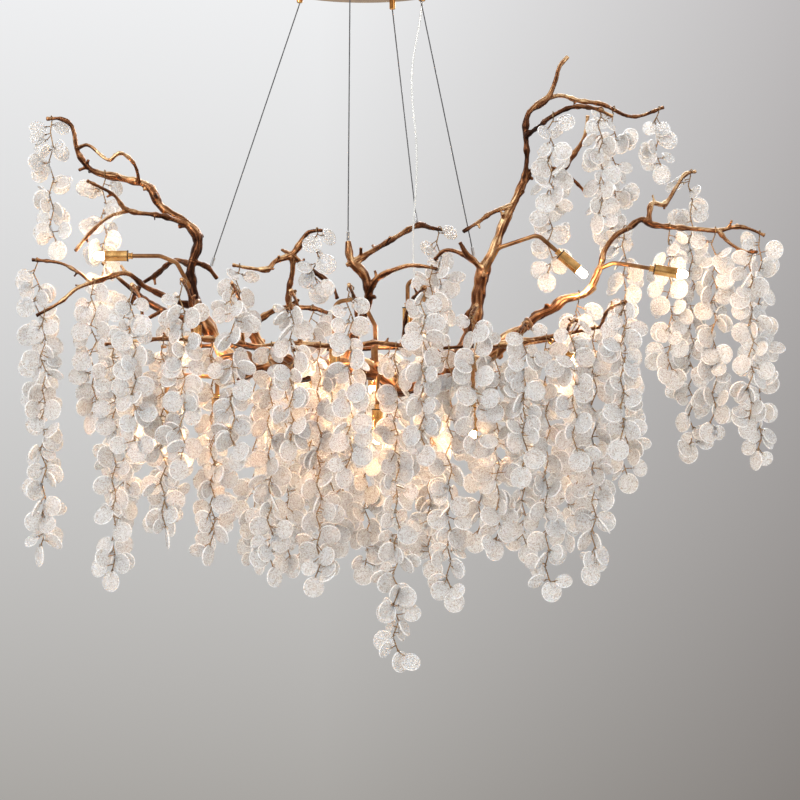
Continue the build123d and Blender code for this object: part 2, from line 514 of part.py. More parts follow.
def garland_form(length, seed):
    """Bends of a garland's wire and the centre and facing of each disc, hung from (0, 0, 0)."""
    draw = random.Random(seed)
    hang = length - DISC_RADIUS
    count = max(FEWEST_BENDS, round((hang - SHANK) / BEND_STEP))
    bends = []
    discs = []
    for i in range(count + 1):
        side = 1 if i % 2 else -1
        reach = side * draw.uniform(*ZIGZAG)
        bend = Vector(reach, draw.uniform(-WAVER, WAVER), -SHANK - (hang - SHANK) * i / count)
        bends.append(bend)
        spread = math.radians((0 if side > 0 else 180) + draw.uniform(-SPREAD, SPREAD))
        droop = math.radians(LAST_DROOP if i == count else draw.uniform(*DROOP))
        tilt = math.radians(draw.uniform(-TILT, TILT))
        out = Vector(math.cos(spread) * math.cos(droop), math.sin(spread) * math.cos(droop), -math.sin(droop))
        level = Vector(-math.sin(spread), math.cos(spread), 0)
        facing = level * math.cos(tilt) + out.cross(level) * math.sin(tilt)
        if i > 0:
            discs.append((bend + out * (DISC_RADIUS - DISC_BITE), facing))
    balance = Vector(0, 0, 0)
    for centre, _ in discs:
        balance = balance + Vector(centre.X, centre.Y, 0) / len(discs)
    return [b - balance for b in bends], [(c - balance, f) for c, f in discs]


def garland(spot, seed):
    """Wire with a hook over its twig and glass discs at its bends; also the hook's centre and axis."""
    limb, x, length = spot
    centre, radius, along = place_on(limb, x)
    level = Vector(along.X, along.Y, 0)
    steep = level.length
    axis = level.normalized() * math.copysign(1, level.X)
    across = Vector(-axis.Y, axis.X, 0)
    clear = radius / steep + WIRE_RADIUS * math.sqrt(1 - steep * steep) / steep + FIT_GAP
    hook_radius = (clear + WIRE_RADIUS) / math.cos(math.radians(HOOK_STEP / 2))
    bends, discs = garland_form(length - hook_radius, seed)
    middle = centre - Vector(0, 0, HOOK_SAG)
    path = []
    for k in range(HOOK_POINTS):
        turn = math.radians(180 + HOOK_STEP / 2 - HOOK_STEP * k)
        path.append(middle + (across * math.cos(turn) + Vector(0, 0, 1) * math.sin(turn)) * hook_radius)
    top = middle - Vector(0, 0, hook_radius)
    path += [top + bend for bend in bends]
    solids = [tube([(p.X, p.Y, p.Z, WIRE_RADIUS) for p in path], WIRE_SIDES)]
    for disc, facing in discs:
        back = top + disc - facing * (DISC_THICKNESS / 2)
        solids.append(rod(DISC_RADIUS, back, facing, DISC_THICKNESS))
    return joined(solids), centre, axis


def save(name, solids):
    """Write one node's solids and print what it holds."""
    shape = solids[0] if len(solids) == 1 else Compound(children=list(solids))
    shape.label = name
    export_step(shape, f"parts/{name}.step")
    print(f"{name}: {sum(len(s.solids()) for s in solids)} solids, {sum(s.volume for s in solids):.0f} mm3")


os.makedirs("parts", exist_ok=True)

# Ceiling fitting
save("ceiling_bracket", [bracket()])
save("canopy", [canopy()])
save("canopy_nuts", cap_nuts())
save("terminal_block", [terminal_block()])
save("rope_grips", [through_grip(x, y, GRIP_RADIUS) for x, y in grip_places()])
save("cord_grip", [through_grip(CORD_ROUTE[0][0], CORD_ROUTE[0][1], CORD_GRIP_RADIUS)])

# Ropes with their ferrules
ferrules = []
for (name, spot), grip in zip(ROPES.items(), grip_places()):
    rope, ferrule = rope_and_ferrule(spot, grip)
    ferrules.append(ferrule)
    save(name, [rope])
save("rope_ferrules", ferrules)

# Power cord and its inlet on the trunk
cord_radii = bend_radii(CORD_ROUTE)
print("cord radii", [round(radius, 1) for radius in cord_radii])
cord = swept(CORD_ROUTE, cord_radii, CORD_RADIUS)
save("power_cord", [cord])
inlet = rod(INLET_RADIUS, Vector(*CORD_ROUTE[-1]) - Vector(0, 0, FIT_GAP), DOWN, INLET_HEIGHT)
save("cord_inlet", [largest(cleared(Part() + inlet, [TRUNK]))])

# Branch frame
for name, (groups, carriers) in BOUGHS.items():
    save(name, bough(groups, carriers))

# Lamps
save("lamp_arms", [lamp_arm(points) for points, _ in LAMPS.values()])
save("lamp_sleeves", [lamp_sleeve(points[-1], way) for points, way in LAMPS.values()])
save("lampholders", [lampholder(points[-1], way) for points, way in LAMPS.values()])
for name, (points, way) in LAMPS.items():
    save(f"bulb_{name}", [bulb(points[-1], way)])
    print(f"slide bulb_{name} axis {way[0]:.5f} {way[1]:.5f} {way[2]:.5f}")

# Garlands
seed = 0
for name, spot in SWINGING.items():
    seed += 1
    shape, centre, axis = garland(spot, seed)
    save(name, [shape])
    print(f"hinge {name} at {centre.X:.3f} {centre.Y:.3f} {centre.Z:.3f} axis {axis.X:.5f} {axis.Y:.5f}")
for name, spots in WOUND.items():
    shapes = []
    for spot in spots:
        seed += 1
        shapes.append(garland(spot, seed)[0])
    save(name, shapes)
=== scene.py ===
# %% [markdown]
# # A branch chandelier with garlands of glass discs
# The CAD model holds every piece at its real size, and this lesson gives the pieces their looks.
# The branches are brass castings with a brown patina, the garlands are twisted wire with hammered
# glass discs, and small lit lamps sit among them. All Blender pieces are made in metres, in the
# same frame as the CAD model.

import json
import math
import random

import bpy
from mathutils import Matrix, Vector, kdtree, noise


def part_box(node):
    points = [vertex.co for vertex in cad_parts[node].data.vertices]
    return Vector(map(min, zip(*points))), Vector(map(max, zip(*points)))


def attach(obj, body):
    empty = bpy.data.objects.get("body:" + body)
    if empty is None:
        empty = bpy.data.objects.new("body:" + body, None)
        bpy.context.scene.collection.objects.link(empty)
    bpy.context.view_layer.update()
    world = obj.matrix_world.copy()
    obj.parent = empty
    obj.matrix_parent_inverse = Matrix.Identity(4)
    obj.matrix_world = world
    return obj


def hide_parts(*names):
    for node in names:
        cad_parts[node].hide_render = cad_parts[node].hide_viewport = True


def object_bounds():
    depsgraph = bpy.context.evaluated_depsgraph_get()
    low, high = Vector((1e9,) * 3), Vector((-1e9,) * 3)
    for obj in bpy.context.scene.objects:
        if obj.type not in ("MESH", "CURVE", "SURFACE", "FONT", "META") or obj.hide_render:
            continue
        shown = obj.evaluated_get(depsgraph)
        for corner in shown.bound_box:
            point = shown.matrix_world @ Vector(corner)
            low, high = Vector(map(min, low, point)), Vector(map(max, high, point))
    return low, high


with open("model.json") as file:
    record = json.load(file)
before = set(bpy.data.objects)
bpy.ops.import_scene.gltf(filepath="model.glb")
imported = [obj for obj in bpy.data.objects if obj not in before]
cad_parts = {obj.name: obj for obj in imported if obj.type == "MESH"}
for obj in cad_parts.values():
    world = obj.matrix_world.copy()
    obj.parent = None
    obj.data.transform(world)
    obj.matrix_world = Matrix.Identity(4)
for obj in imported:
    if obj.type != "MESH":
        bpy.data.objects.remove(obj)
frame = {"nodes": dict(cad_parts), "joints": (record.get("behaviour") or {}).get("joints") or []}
nodes = frame["nodes"]
cad_low, cad_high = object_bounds()
scene = bpy.context.scene
print(len(nodes), "CAD nodes in a box of", [round(v, 3) for v in cad_high - cad_low], "m")

# %% [markdown]
# ## The camera
# The picture was taken level with the middle of the chandelier and from a few metres away, so that
# its near and far twigs have almost the same scale. A long lens from far off gives that, and it is
# easy to set up: the picture's width at the chandelier and the distance fix the focal length.

# %% Camera
PICTURE_WIDTH = 1.28                      # metres across the picture, at the chandelier
CAMERA_DISTANCE = 4.2
PICTURE_CENTRE = Vector((0.0576, 0, -0.688))

camera = bpy.data.objects.new("camera", bpy.data.cameras.new("camera"))
scene.collection.objects.link(camera)
camera.location = PICTURE_CENTRE - Vector((0, CAMERA_DISTANCE, 0))
camera.rotation_euler = (math.radians(90), 0, 0)
camera.data.lens = camera.data.sensor_width * CAMERA_DISTANCE / PICTURE_WIDTH
scene.camera = camera
scene.view_settings.view_transform = "Standard"
print("lens", round(camera.data.lens), "mm")

# %% [markdown]
# ## Helpers for meshes and materials
# Wires, ropes and discs are all made from rings of points that are joined by faces. A heap gathers
# the points and faces of many such forms, with the finish of each face, and turns them into one
# mesh. That keeps a garland with its wire and its discs one piece, which is how it hangs on its
# twig.

# %% A heap of points and faces
class Heap:
    """Points and faces gathered for one mesh."""

    def __init__(self):
        self.points = []
        self.faces = []
        self.finishes = []

    def add(self, points, faces, finish=0):
        base = len(self.points)
        self.points += points
        self.faces += [[base + i for i in face] for face in faces]
        self.finishes += [finish] * len(faces)

    def piece(self, name, materials):
        mesh = bpy.data.meshes.new(name)
        mesh.from_pydata([tuple(p) for p in self.points], [], self.faces)
        for material in materials:
            mesh.materials.append(material)
        mesh.polygons.foreach_set("material_index", self.finishes)
        mesh.shade_smooth()
        made = bpy.data.objects.new(name, mesh)
        scene.collection.objects.link(made)
        return made


def ring_faces(rings, sides):
    """Faces between rings of points that follow each other, with a face at each end."""
    faces = []
    for ring in range(rings - 1):
        low = ring * sides
        high = low + sides
        for k in range(sides):
            after = (k + 1) % sides
            faces.append([low + k, low + after, high + after, high + k])
    faces.append(list(range(sides))[::-1])
    faces.append([(rings - 1) * sides + k for k in range(sides)])
    return faces


def carried(side, way, next_way):
    """A side vector turned with the least rotation from one direction to the next."""
    return way.rotation_difference(next_way) @ side


def skin(line, sides, reach):
    """Rings round a line of points; reach(i, turn) gives the distance from the line."""
    way = (line[1] - line[0]).normalized()
    side = way.orthogonal().normalized()
    points = []
    for i, place in enumerate(line):
        along = (line[min(i + 1, len(line) - 1)] - line[max(i - 1, 0)]).normalized()
        side = carried(side, way, along)
        way = along
        over = way.cross(side)
        for k in range(sides):
            turn = 2 * math.pi * k / sides
            points.append(place + (side * math.cos(turn) + over * math.sin(turn)) * reach(i, turn))
    return points


# %% A start for every material
def new_material(name, colour, roughness, metallic=0.0):
    """A material with its shader set to plain values."""
    made = bpy.data.materials.new(name)
    made.use_nodes = True
    shader = made.node_tree.nodes["Principled BSDF"]
    shader.inputs["Base Color"].default_value = (*colour, 1)
    shader.inputs["Roughness"].default_value = roughness
    shader.inputs["Metallic"].default_value = metallic
    return made, made.node_tree, shader


def add_node(tree, kind, **values):
    """A node with its inputs set; an input's name has _ for each space."""
    made = tree.nodes.new(kind)
    for name, value in values.items():
        made.inputs[name.replace("_", " ")].default_value = value
    return made


def add_ramp(tree, source, stops):
    """A colour ramp that is fed by a value, with its stops as (place, colour)."""
    ramp = tree.nodes.new("ShaderNodeValToRGB")
    points = ramp.color_ramp.elements
    while len(points) < len(stops):
        points.new(0.5)
    for point, (place, colour) in zip(points, stops):
        point.position = place
        point.color = (*colour, 1)
    tree.links.new(source, ramp.inputs["Fac"])
    return ramp


def grain(tree, scale, detail=4.0, roughness=0.55):
    """Noise in the object's own metres."""
    place = tree.nodes.new("ShaderNodeTexCoord")
    made = add_node(tree, "ShaderNodeTexNoise", Scale=scale, Detail=detail, Roughness=roughness)
    tree.links.new(place.outputs["Object"], made.inputs["Vector"])
    return made


def add_bump(tree, shader, height, strength, distance):
    """Fine relief on a shader from a height."""
    bump = add_node(tree, "ShaderNodeBump", Strength=strength, Distance=distance)
    tree.links.new(height, bump.inputs["Height"])
    tree.links.new(bump.outputs["Normal"], shader.inputs["Normal"])


def vary(tree, shader, socket, source, low, high):
    """A shader value that runs between two numbers with a source from 0 to 1."""
    spread = add_node(tree, "ShaderNodeMapRange", To_Min=low, To_Max=high)
    tree.links.new(source, spread.inputs["Value"])
    tree.links.new(spread.outputs["Result"], shader.inputs[socket])


def scaled(tree, source, factor, plus):
    """A source times a factor, plus a number or another source."""
    made = tree.nodes.new("ShaderNodeMath")
    made.operation = "MULTIPLY_ADD"
    made.inputs[1].default_value = factor
    tree.links.new(source, made.inputs[0])
    if isinstance(plus, float):
        made.inputs[2].default_value = plus
    else:
        tree.links.new(plus, made.inputs[2])
    return made.outputs["Value"]


print("helpers ready")

# %% [markdown]
# ## The wire ropes
# Four thin steel ropes carry the chandelier, so they are straight and taut. A smooth bar would do
# from afar, but a wire rope is six strands laid round each other, and light breaks on the strands.
# Each strand here is a thin tube that winds round the points of the rope's own line. The rope's CAD
# solid is a straight bar, so the middles of its lowest and its highest ring are the rope's ends.

# %% Rope steel
rope_steel, tree, shader = new_material("rope_steel", (0.16, 0.16, 0.165), 0.4, 1.0)
worn = grain(tree, 900.0)
vary(tree, shader, "Roughness", worn.outputs["Fac"], 0.3, 0.55)
shade = add_ramp(tree, worn.outputs["Fac"], [(0.35, (0.1, 0.1, 0.105)), (0.7, (0.26, 0.26, 0.265))])
tree.links.new(shade.outputs["Color"], shader.inputs["Base Color"])
print("rope steel with", len(tree.nodes), "shader nodes")


# %% Lines through routes
def route_curve(name, route):
    """A smooth curve with the route's points as its control points."""
    curve = bpy.data.curves.new(name, "CURVE")
    curve.dimensions = "3D"
    spline = curve.splines.new("NURBS")
    spline.points.add(len(route) - 1)
    for point, place in zip(spline.points, route):
        point.co = (*place, 1)
    spline.order_u = 3
    spline.use_endpoint_u = True
    made = bpy.data.objects.new(name, curve)
    scene.collection.objects.link(made)
    return made


def line_of(name, route, points):
    """The points of the smooth line that a route gives."""
    guide = route_curve(name, route)
    guide.data.resolution_u = points
    mesh = bpy.data.meshes.new_from_object(guide)
    line = [v.co.copy() for v in mesh.vertices]
    bpy.data.objects.remove(guide)
    return line


def bar_ends(name):
    """Lower and upper end of a straight bar of the CAD model."""
    low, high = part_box(name)
    points = [v.co for v in nodes[name].data.vertices]
    middle = (low.z + high.z) / 2
    feet = [p for p in points if p.z < middle]
    tops = [p for p in points if p.z >= middle]
    return sum(feet, Vector()) / len(feet), sum(tops, Vector()) / len(tops)


# %% Ropes of six strands
ROPE_DIAMETER = 0.002
STRANDS = 6
STRAND_RADIUS = ROPE_DIAMETER / 6         # two strands and the core fill the rope's width
LAY_LENGTH = 0.011                        # one turn of a strand round the rope
STEPS_PER_TURN = 8
CORE_SIDES = 6
STRAND_SIDES = 5


def lay_rope(name):
    """Six strands and a core along the straight line of a rope."""
    foot, top = bar_ends(name)
    length = (top - foot).length
    steps = round(length / LAY_LENGTH * STEPS_PER_TURN)
    line = line_of(name + "_line", [foot, (foot + top) / 2, top], steps)
    side = (top - foot).orthogonal().normalized()
    over = (top - foot).normalized().cross(side)
    heap = Heap()
    core = skin(line, CORE_SIDES, lambda i, turn: STRAND_RADIUS)
    heap.add(core, ring_faces(len(line), CORE_SIDES))
    for s in range(STRANDS):
        strand = []
        for place in line:
            turn = 2 * math.pi * ((place - foot).length / LAY_LENGTH + s / STRANDS)
            out = side * math.cos(turn) + over * math.sin(turn)
            strand.append(place + out * (ROPE_DIAMETER / 2 - STRAND_RADIUS))
        tube = skin(strand, STRAND_SIDES, lambda i, turn: STRAND_RADIUS)
        heap.add(tube, ring_faces(len(strand), STRAND_SIDES))
    rope = heap.piece(name + "_strands", [rope_steel])
    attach(rope, "frame")
    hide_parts(name)
    return length


ROPES = ("rope_left", "rope_front", "rope_back", "rope_right")
for name in ROPES:
    print(name, round(lay_rope(name), 3), "m")

# %% [markdown]
# ## The power cord
# A thin clear cord runs beside the ropes from the canopy to the trunk. It hangs by its own weight
# with slow waves that it keeps from its packing. One curve with a round section is all it needs,
# and the clear plastic does the rest.

# %% Clear cord
CORD_DIAMETER = 0.003
CORD_ROUTE = [(0.093, 0.008, -0.050), (0.091, 0.008, -0.076), (0.082, 0.010, -0.118), (0.076, 0.012, -0.163),
              (0.077, 0.014, -0.208), (0.083, 0.016, -0.255), (0.085, 0.017, -0.305), (0.083, 0.018, -0.354),
              (0.079, 0.018, -0.402), (0.078, 0.017, -0.450), (0.081, 0.014, -0.500), (0.086, 0.010, -0.548),
              (0.090, 0.005, -0.592), (0.092, 0.002, -0.624)]

clear_cord, tree, shader = new_material("clear_cord", (0.86, 0.86, 0.84), 0.22)
shader.inputs["Transmission Weight"].default_value = 0.45
shader.inputs["IOR"].default_value = 1.46
cloud = grain(tree, 160.0)
tint = add_ramp(tree, cloud.outputs["Fac"], [(0.3, (0.78, 0.78, 0.75)), (0.7, (0.9, 0.9, 0.88))])
tree.links.new(tint.outputs["Color"], shader.inputs["Base Color"])
vary(tree, shader, "Roughness", cloud.outputs["Fac"], 0.15, 0.32)

power_cord = route_curve("power_cord_line", CORD_ROUTE)
power_cord.data.bevel_depth = CORD_DIAMETER / 2
power_cord.data.bevel_resolution = 4
power_cord.data.use_fill_caps = True
power_cord.data.materials.append(clear_cord)
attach(power_cord, "frame")
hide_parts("power_cord")
print("power cord", round(power_cord.data.splines[0].calc_length(), 3), "m")

# %% [markdown]
# ## Where the limbs run
# Each branch follows a line of points with a radius at each, in millimetres from the ceiling
# bracket, foot first. They are the same points as in the CAD source. Bark needs them, because its
# ridges run along a limb and not across it, and the garlands need them, because each one hangs on a
# twig at a given place.

# %% Trunk, as (x, y, z, radius) in millimetres
MM = 0.001                                # metres

TRUNK = [(-205, 0, -650, 8), (-150, 0, -632, 12), (-95, 0, -645, 13), (-40, 0, -632, 13), (15, 0, -642, 14),
         (60, 0, -664, 14), (105, 0, -652, 14), (140, 0, -626, 16), (190, 0, -632, 11)]

# %% Left limbs
LEFT_ARCH = [(-190, 0, -645, 8), (-225, 8, -610, 10), (-258, 18, -560, 11.5), (-276, 28, -515, 9.5),
             (-280, 38, -475, 8), (-269, 44, -430, 7), (-288, 48, -402, 7.5), (-330, 54, -374, 6),
             (-350, 57, -342, 6.5), (-395, 60, -328, 5.5), (-440, 60, -316, 5.5), (-464, 56, -288, 4.5),
             (-474, 53, -245, 4), (-490, 53, -233, 3.5), (-516, 56, -232, 2.5)]
LOOP_TWIG = [(-466, 55, -280, 4), (-445, 36, -277, 3.2), (-411, 22, -302, 3), (-392, 20, -291, 3.2),
             (-373, 26, -304, 3), (-366, 40, -322, 3), (-367, 58, -338, 3.2)]
LOWER_TWIG = [(-286, 48, -404, 5), (-325, 22, -392, 4.2), (-379, -5, -384, 4), (-400, -10, -360, 3.2),
              (-442, -15, -338, 2.2)]
HOOK_TWIG = [(-372, -2, -385, 3.5), (-406, -16, -396, 3), (-440, -30, -428, 2.8), (-458, -36, -452, 2)]
ROPE_TWIG = [(-279, 39, -464, 5), (-254, 45, -473, 4), (-238, 50, -492, 2.5)]

SPRAY_FRONT = [(-270, 25, -538, 6), (-296, 5, -531, 5), (-346, -30, -509, 4.5), (-374, -50, -488, 4.5),
               (-411, -65, -498, 4), (-448, -80, -512, 3.6), (-474, -86, -534, 3.2), (-512, -91, -556, 2.2)]
SPRAY_OUTER = [(-428, -72, -504, 3.5), (-450, -50, -487, 3), (-484, -25, -470, 2.8), (-530, -11, -464, 2)]
SPRAY_BACK = [(-255, 18, -563, 7), (-288, 25, -556, 5.5), (-331, 42, -541, 5), (-376, 80, -510, 4.5),
              (-411, 106, -482, 3.5), (-432, 118, -462, 2.2)]
SPRAY_LOW = [(-325, 40, -543, 4), (-346, 20, -556, 3.5), (-366, 8, -570, 3.2), (-390, 2, -577, 2.5)]
SPRAY_HIGH = [(-279, 39, -470, 5), (-309, 70, -461, 4.5), (-342, 105, -482, 4), (-376, 130, -504, 3.6),
              (-390, 140, -536, 3.2), (-408, 146, -548, 2.2)]

# %% Middle limbs
MID_LEFT = [(-152, 0, -630, 8), (-181, -12, -573, 8), (-190, -18, -545, 6.5), (-203, -20, -515, 5),
            (-216, -22, -500, 3)]
MID_LEFT_ARM = [(-182, -12, -571, 5.5), (-142, -35, -546, 5), (-117, -50, -542, 5.5), (-77, -66, -544, 4),
                (-56, -72, -551, 2.5)]
MID_LEFT_STEM = [(-117, -50, -542, 5), (-119, -54, -520, 4.5), (-112, -60, -485, 4.5), (-112, -62, -462, 6)]
MID_LEFT_ZIG = [(-206, -78, -476, 2.5), (-171, -74, -482, 4), (-150, -70, -482, 4.5), (-139, -67, -470, 4.5),
                (-112, -62, -458, 6), (-98, -64, -440, 4.5), (-86, -70, -424, 4), (-64, -76, -421, 2.5)]
MID_LEFT_SPUR = [(-130, -52, -450, 2.5), (-112, -62, -461, 5.5), (-90, -52, -478, 4.5), (-62, -40, -496, 4),
                 (-47, -34, -512, 3.5), (-42, -32, -528, 2.2)]

MIDDLE = [(-27, 0, -628, 9), (-22, -8, -608, 8), (-16, -18, -582, 7.5), (4, -26, -543, 7.5),
          (8, -30, -515, 7.5), (0, -32, -488, 7), (-20, -32, -466, 6.5), (-25, -31, -435, 4)]
MIDDLE_RIGHT = [(-28, -32, -474, 4), (-10, -30, -466, 5.5), (10, -20, -453, 5), (43, 10, -432, 4.5),
                (88, 45, -405, 4.5), (106, 62, -408, 4.2), (134, 84, -412, 2.5)]
MIDDLE_LOW = [(8, -30, -520, 5.5), (22, -38, -495, 4.5), (66, -58, -477, 4), (90, -65, -477, 4),
              (116, -72, -482, 2.5)]

# %% Right limbs
RIGHT_TRUNK = [(152, 0, -624, 13), (171, 2, -579, 11), (180, 4, -545, 10), (185, 5, -510, 9),
               (193, 6, -476, 9.5), (210, 10, -442, 8), (224, 18, -405, 7), (240, 25, -372, 6.5),
               (252, 30, -348, 6.5)]
RIGHT_FORK = [(190, 6, -480, 6), (176, 3, -465, 4.5), (165, -4, -456, 4), (153, -10, -436, 2.5)]
RIGHT_SPUR = [(178, 4, -467, 4), (160, 10, -455, 4), (131, 20, -447, 3.5), (113, 30, -462, 2.5)]
RIGHT_SHOOT = [(238, 25, -374, 5), (205, 5, -388, 4), (181, -8, -405, 3.5), (158, -16, -420, 2.2)]

CROWN = [(246, 28, -358, 6), (268, 34, -320, 5.5), (296, 38, -316, 5.5), (320, 38, -315, 5),
         (336, 34, -294, 4.5), (354, 28, -266, 4), (360, 24, -230, 2.5)]
CROWN_HOOP = [(256, 31, -338, 5), (262, 28, -300, 4.5), (260, 28, -250, 5), (266, 30, -224, 5),
              (296, 40, -200, 5), (309, 46, -172, 4.5), (316, 50, -148, 3.8), (330, 54, -131, 2.5)]
CROWN_TOP = [(294, 40, -201, 4.5), (318, 58, -194, 4), (350, 82, -200, 3.8), (390, 100, -204, 3.6),
             (429, 110, -221, 3.6), (453, 115, -221, 3.2), (492, 119, -206, 2.2)]
CROWN_FRONT = [(260, 28, -262, 4.5), (278, 0, -252, 4), (296, -38, -240, 4), (330, -42, -224, 3.8),
               (366, -32, -225, 3.6), (396, -18, -236, 2.4)]
CROWN_SPUR = [(318, 38, -316, 4), (338, 52, -331, 3.2), (358, 60, -350, 2)]

RIGHT_BOUGH = [(180, 0, -630, 9), (210, 0, -609, 9), (236, 0, -584, 10), (258, 0, -572, 8), (276, 0, -554, 9),
               (302, 0, -542, 7.5), (318, 0, -528, 8), (349, 0, -520, 6.5), (368, 2, -505, 6)]

FAR_RIGHT = [(364, 2, -508, 5), (380, 8, -470, 5), (386, 12, -448, 5), (406, 25, -422, 5),
             (426, 36, -411, 4.5), (448, 48, -396, 5), (468, 56, -404, 5), (504, 57, -408, 4.5),
             (540, 58, -411, 4.2), (575, 59, -413, 4.5), (603, 60, -407, 3.8), (624, 60, -410, 3.2),
             (650, 61, -421, 2.2)]
FAR_SPRIG = [(460, 53, -398, 4.5), (466, 62, -370, 4.5), (490, 88, -368, 4.5), (510, 110, -340, 3.8),
             (528, 124, -316, 3.4), (546, 132, -311, 2.2)]
FAR_SHOOT = [(573, 59, -413, 4), (590, 30, -436, 3.4), (610, 4, -450, 3), (626, -18, -452, 2)]

# %% Front and back limbs
FRONT_LEFT = [(-97, 0, -645, 7), (-125, -60, -619, 6), (-190, -125, -601, 5), (-240, -142, -594, 4.5),
              (-320, -143, -594, 4), (-400, -134, -602, 2.5)]
FRONT_MIDDLE = [(-10, 0, -637, 7), (-8, -70, -617, 6), (-22, -138, -606, 5.5)]
FRONT_MIDDLE_BAR = [(-156, -150, -604, 2.5), (-110, -150, -600, 4), (-60, -144, -604, 4.5),
                    (-22, -138, -606, 5.5), (20, -146, -600, 4.5), (66, -152, -605, 2.5)]
FRONT_RIGHT = [(222, 0, -597, 7), (232, -70, -600, 6), (216, -134, -602, 5.5)]
FRONT_RIGHT_BAR = [(124, -138, -608, 2.5), (170, -138, -604, 4), (216, -134, -602, 5.5),
                   (290, -138, -590, 4.5), (372, -120, -574, 2.5)]

BACK_LEFT = [(-150, 0, -632, 7), (-158, 70, -613, 6), (-185, 136, -600, 5), (-255, 148, -598, 4.5),
             (-338, 142, -600, 2.5)]
BACK_MIDDLE = [(-62, 0, -637, 7), (-58, 70, -617, 6), (-40, 140, -605, 5.5)]
BACK_MIDDLE_BAR = [(-122, 142, -606, 2.5), (-80, 146, -602, 4), (-40, 140, -605, 5.5), (40, 148, -601, 4.5),
                   (126, 144, -606, 2.5)]
BACK_RIGHT = [(174, 0, -630, 7), (180, 70, -612, 6), (196, 138, -601, 5), (262, 148, -594, 4.5),
              (346, 140, -584, 2.5)]


# %% Shoots on the front bars
SHOOT_RADIUS = 3.6
SHOOT_TIP_RADIUS = 2.2
SHOOT_FRONT = -214.0
SHOOT_KNEE = (0.3, 0.7)                   # where a shoot bends, as shares of its reach and rise


def front_shoot(x, y, z, lean, rise):
    """Twig that rises from a front bar and then bends forward, leaning to one side."""
    reach = SHOOT_FRONT - y
    out, up = SHOOT_KNEE
    knee = (x + out * lean, y + out * reach, z + up * rise, (SHOOT_RADIUS + SHOOT_TIP_RADIUS) / 2)
    return [(x, y, z, SHOOT_RADIUS), knee, (x + lean, SHOOT_FRONT, z + rise, SHOOT_TIP_RADIUS)]


LEFT_SHOOTS = [front_shoot(-338, -141, -596, -12, 84), front_shoot(-262, -143, -594, -12, 90),
               front_shoot(-186, -122, -602, -12, 92)]
MIDDLE_SHOOTS = [front_shoot(-96, -148, -601, -12, 80), front_shoot(-8, -140, -604, -12, 92),
                 front_shoot(61, -151, -604, 35, 88)]
RIGHT_SHOOTS = [front_shoot(164, -138, -604, 10, 60), front_shoot(240, -136, -598, 10, 28),
                front_shoot(316, -132, -585, 10, 18), front_shoot(369, -121, -575, 31, 36)]
print(len(LEFT_SHOOTS + MIDDLE_SHOOTS + RIGHT_SHOOTS), "shoots on the front bars")

# %% The castings and their limbs
CASTINGS = {
    "trunk": [TRUNK],
    "left_crown": [LEFT_ARCH, LOOP_TWIG, LOWER_TWIG, HOOK_TWIG, ROPE_TWIG],
    "left_sprays": [SPRAY_FRONT, SPRAY_OUTER, SPRAY_BACK, SPRAY_LOW, SPRAY_HIGH],
    "mid_left_bough": [MID_LEFT, MID_LEFT_ARM, MID_LEFT_STEM, MID_LEFT_ZIG, MID_LEFT_SPUR],
    "middle_bough": [MIDDLE, MIDDLE_RIGHT, MIDDLE_LOW],
    "right_trunk": [RIGHT_TRUNK, RIGHT_FORK, RIGHT_SPUR, RIGHT_SHOOT],
    "right_crown": [CROWN, CROWN_HOOP, CROWN_TOP, CROWN_FRONT, CROWN_SPUR],
    "right_bough": [RIGHT_BOUGH],
    "far_right_twig": [FAR_RIGHT, FAR_SPRIG, FAR_SHOOT],
    "front_boughs": [FRONT_LEFT, FRONT_MIDDLE, FRONT_MIDDLE_BAR, FRONT_RIGHT, FRONT_RIGHT_BAR,
                     *LEFT_SHOOTS, *MIDDLE_SHOOTS, *RIGHT_SHOOTS],
    "back_boughs": [BACK_LEFT, BACK_MIDDLE, BACK_MIDDLE_BAR, BACK_RIGHT],
}
print(len(CASTINGS), "castings with", sum(len(limbs) for limbs in CASTINGS.values()), "limbs")

# %% [markdown]
# ## Patina on cast brass
# The branches were cast in brass, browned with a patina and rubbed, so the ridges of the bark shine
# like gold and the grooves stay dark. Each bark mesh carries a ridge value that is 0 in a groove and
# 1 on a ridge, and that is also raised on the tops of the limbs as a painted highlight of light from
# above. A colour ramp on that value paints the rubbing and this painted highlight, which is better
# than loose noise because the gold sits where a cloth would reach it. Slow noise leaves whole
# stretches browner or more golden, because no hand rubs evenly.

# %% Patina brass
RIDGE_AND_HIGHLIGHT_RUB = 0.6                           # how much the ridges with the painted top highlight, the stretches and the blotches count
STRETCH_RUB = 1.6
BLOTCH_RUB = 0.4
UNRUBBED = -0.75                          # what the sum of the three starts from
PIT_DEPTH = 0.0008

patina_brass, tree, shader = new_material("patina_brass", (0.3, 0.13, 0.05), 0.4, 0.9)
ridge_and_highlight = tree.nodes.new("ShaderNodeAttribute")
ridge_and_highlight.attribute_name = "ridge_and_highlight"
blotch = grain(tree, 60.0, 5.0)
stretch = grain(tree, 9.0, 2.0)
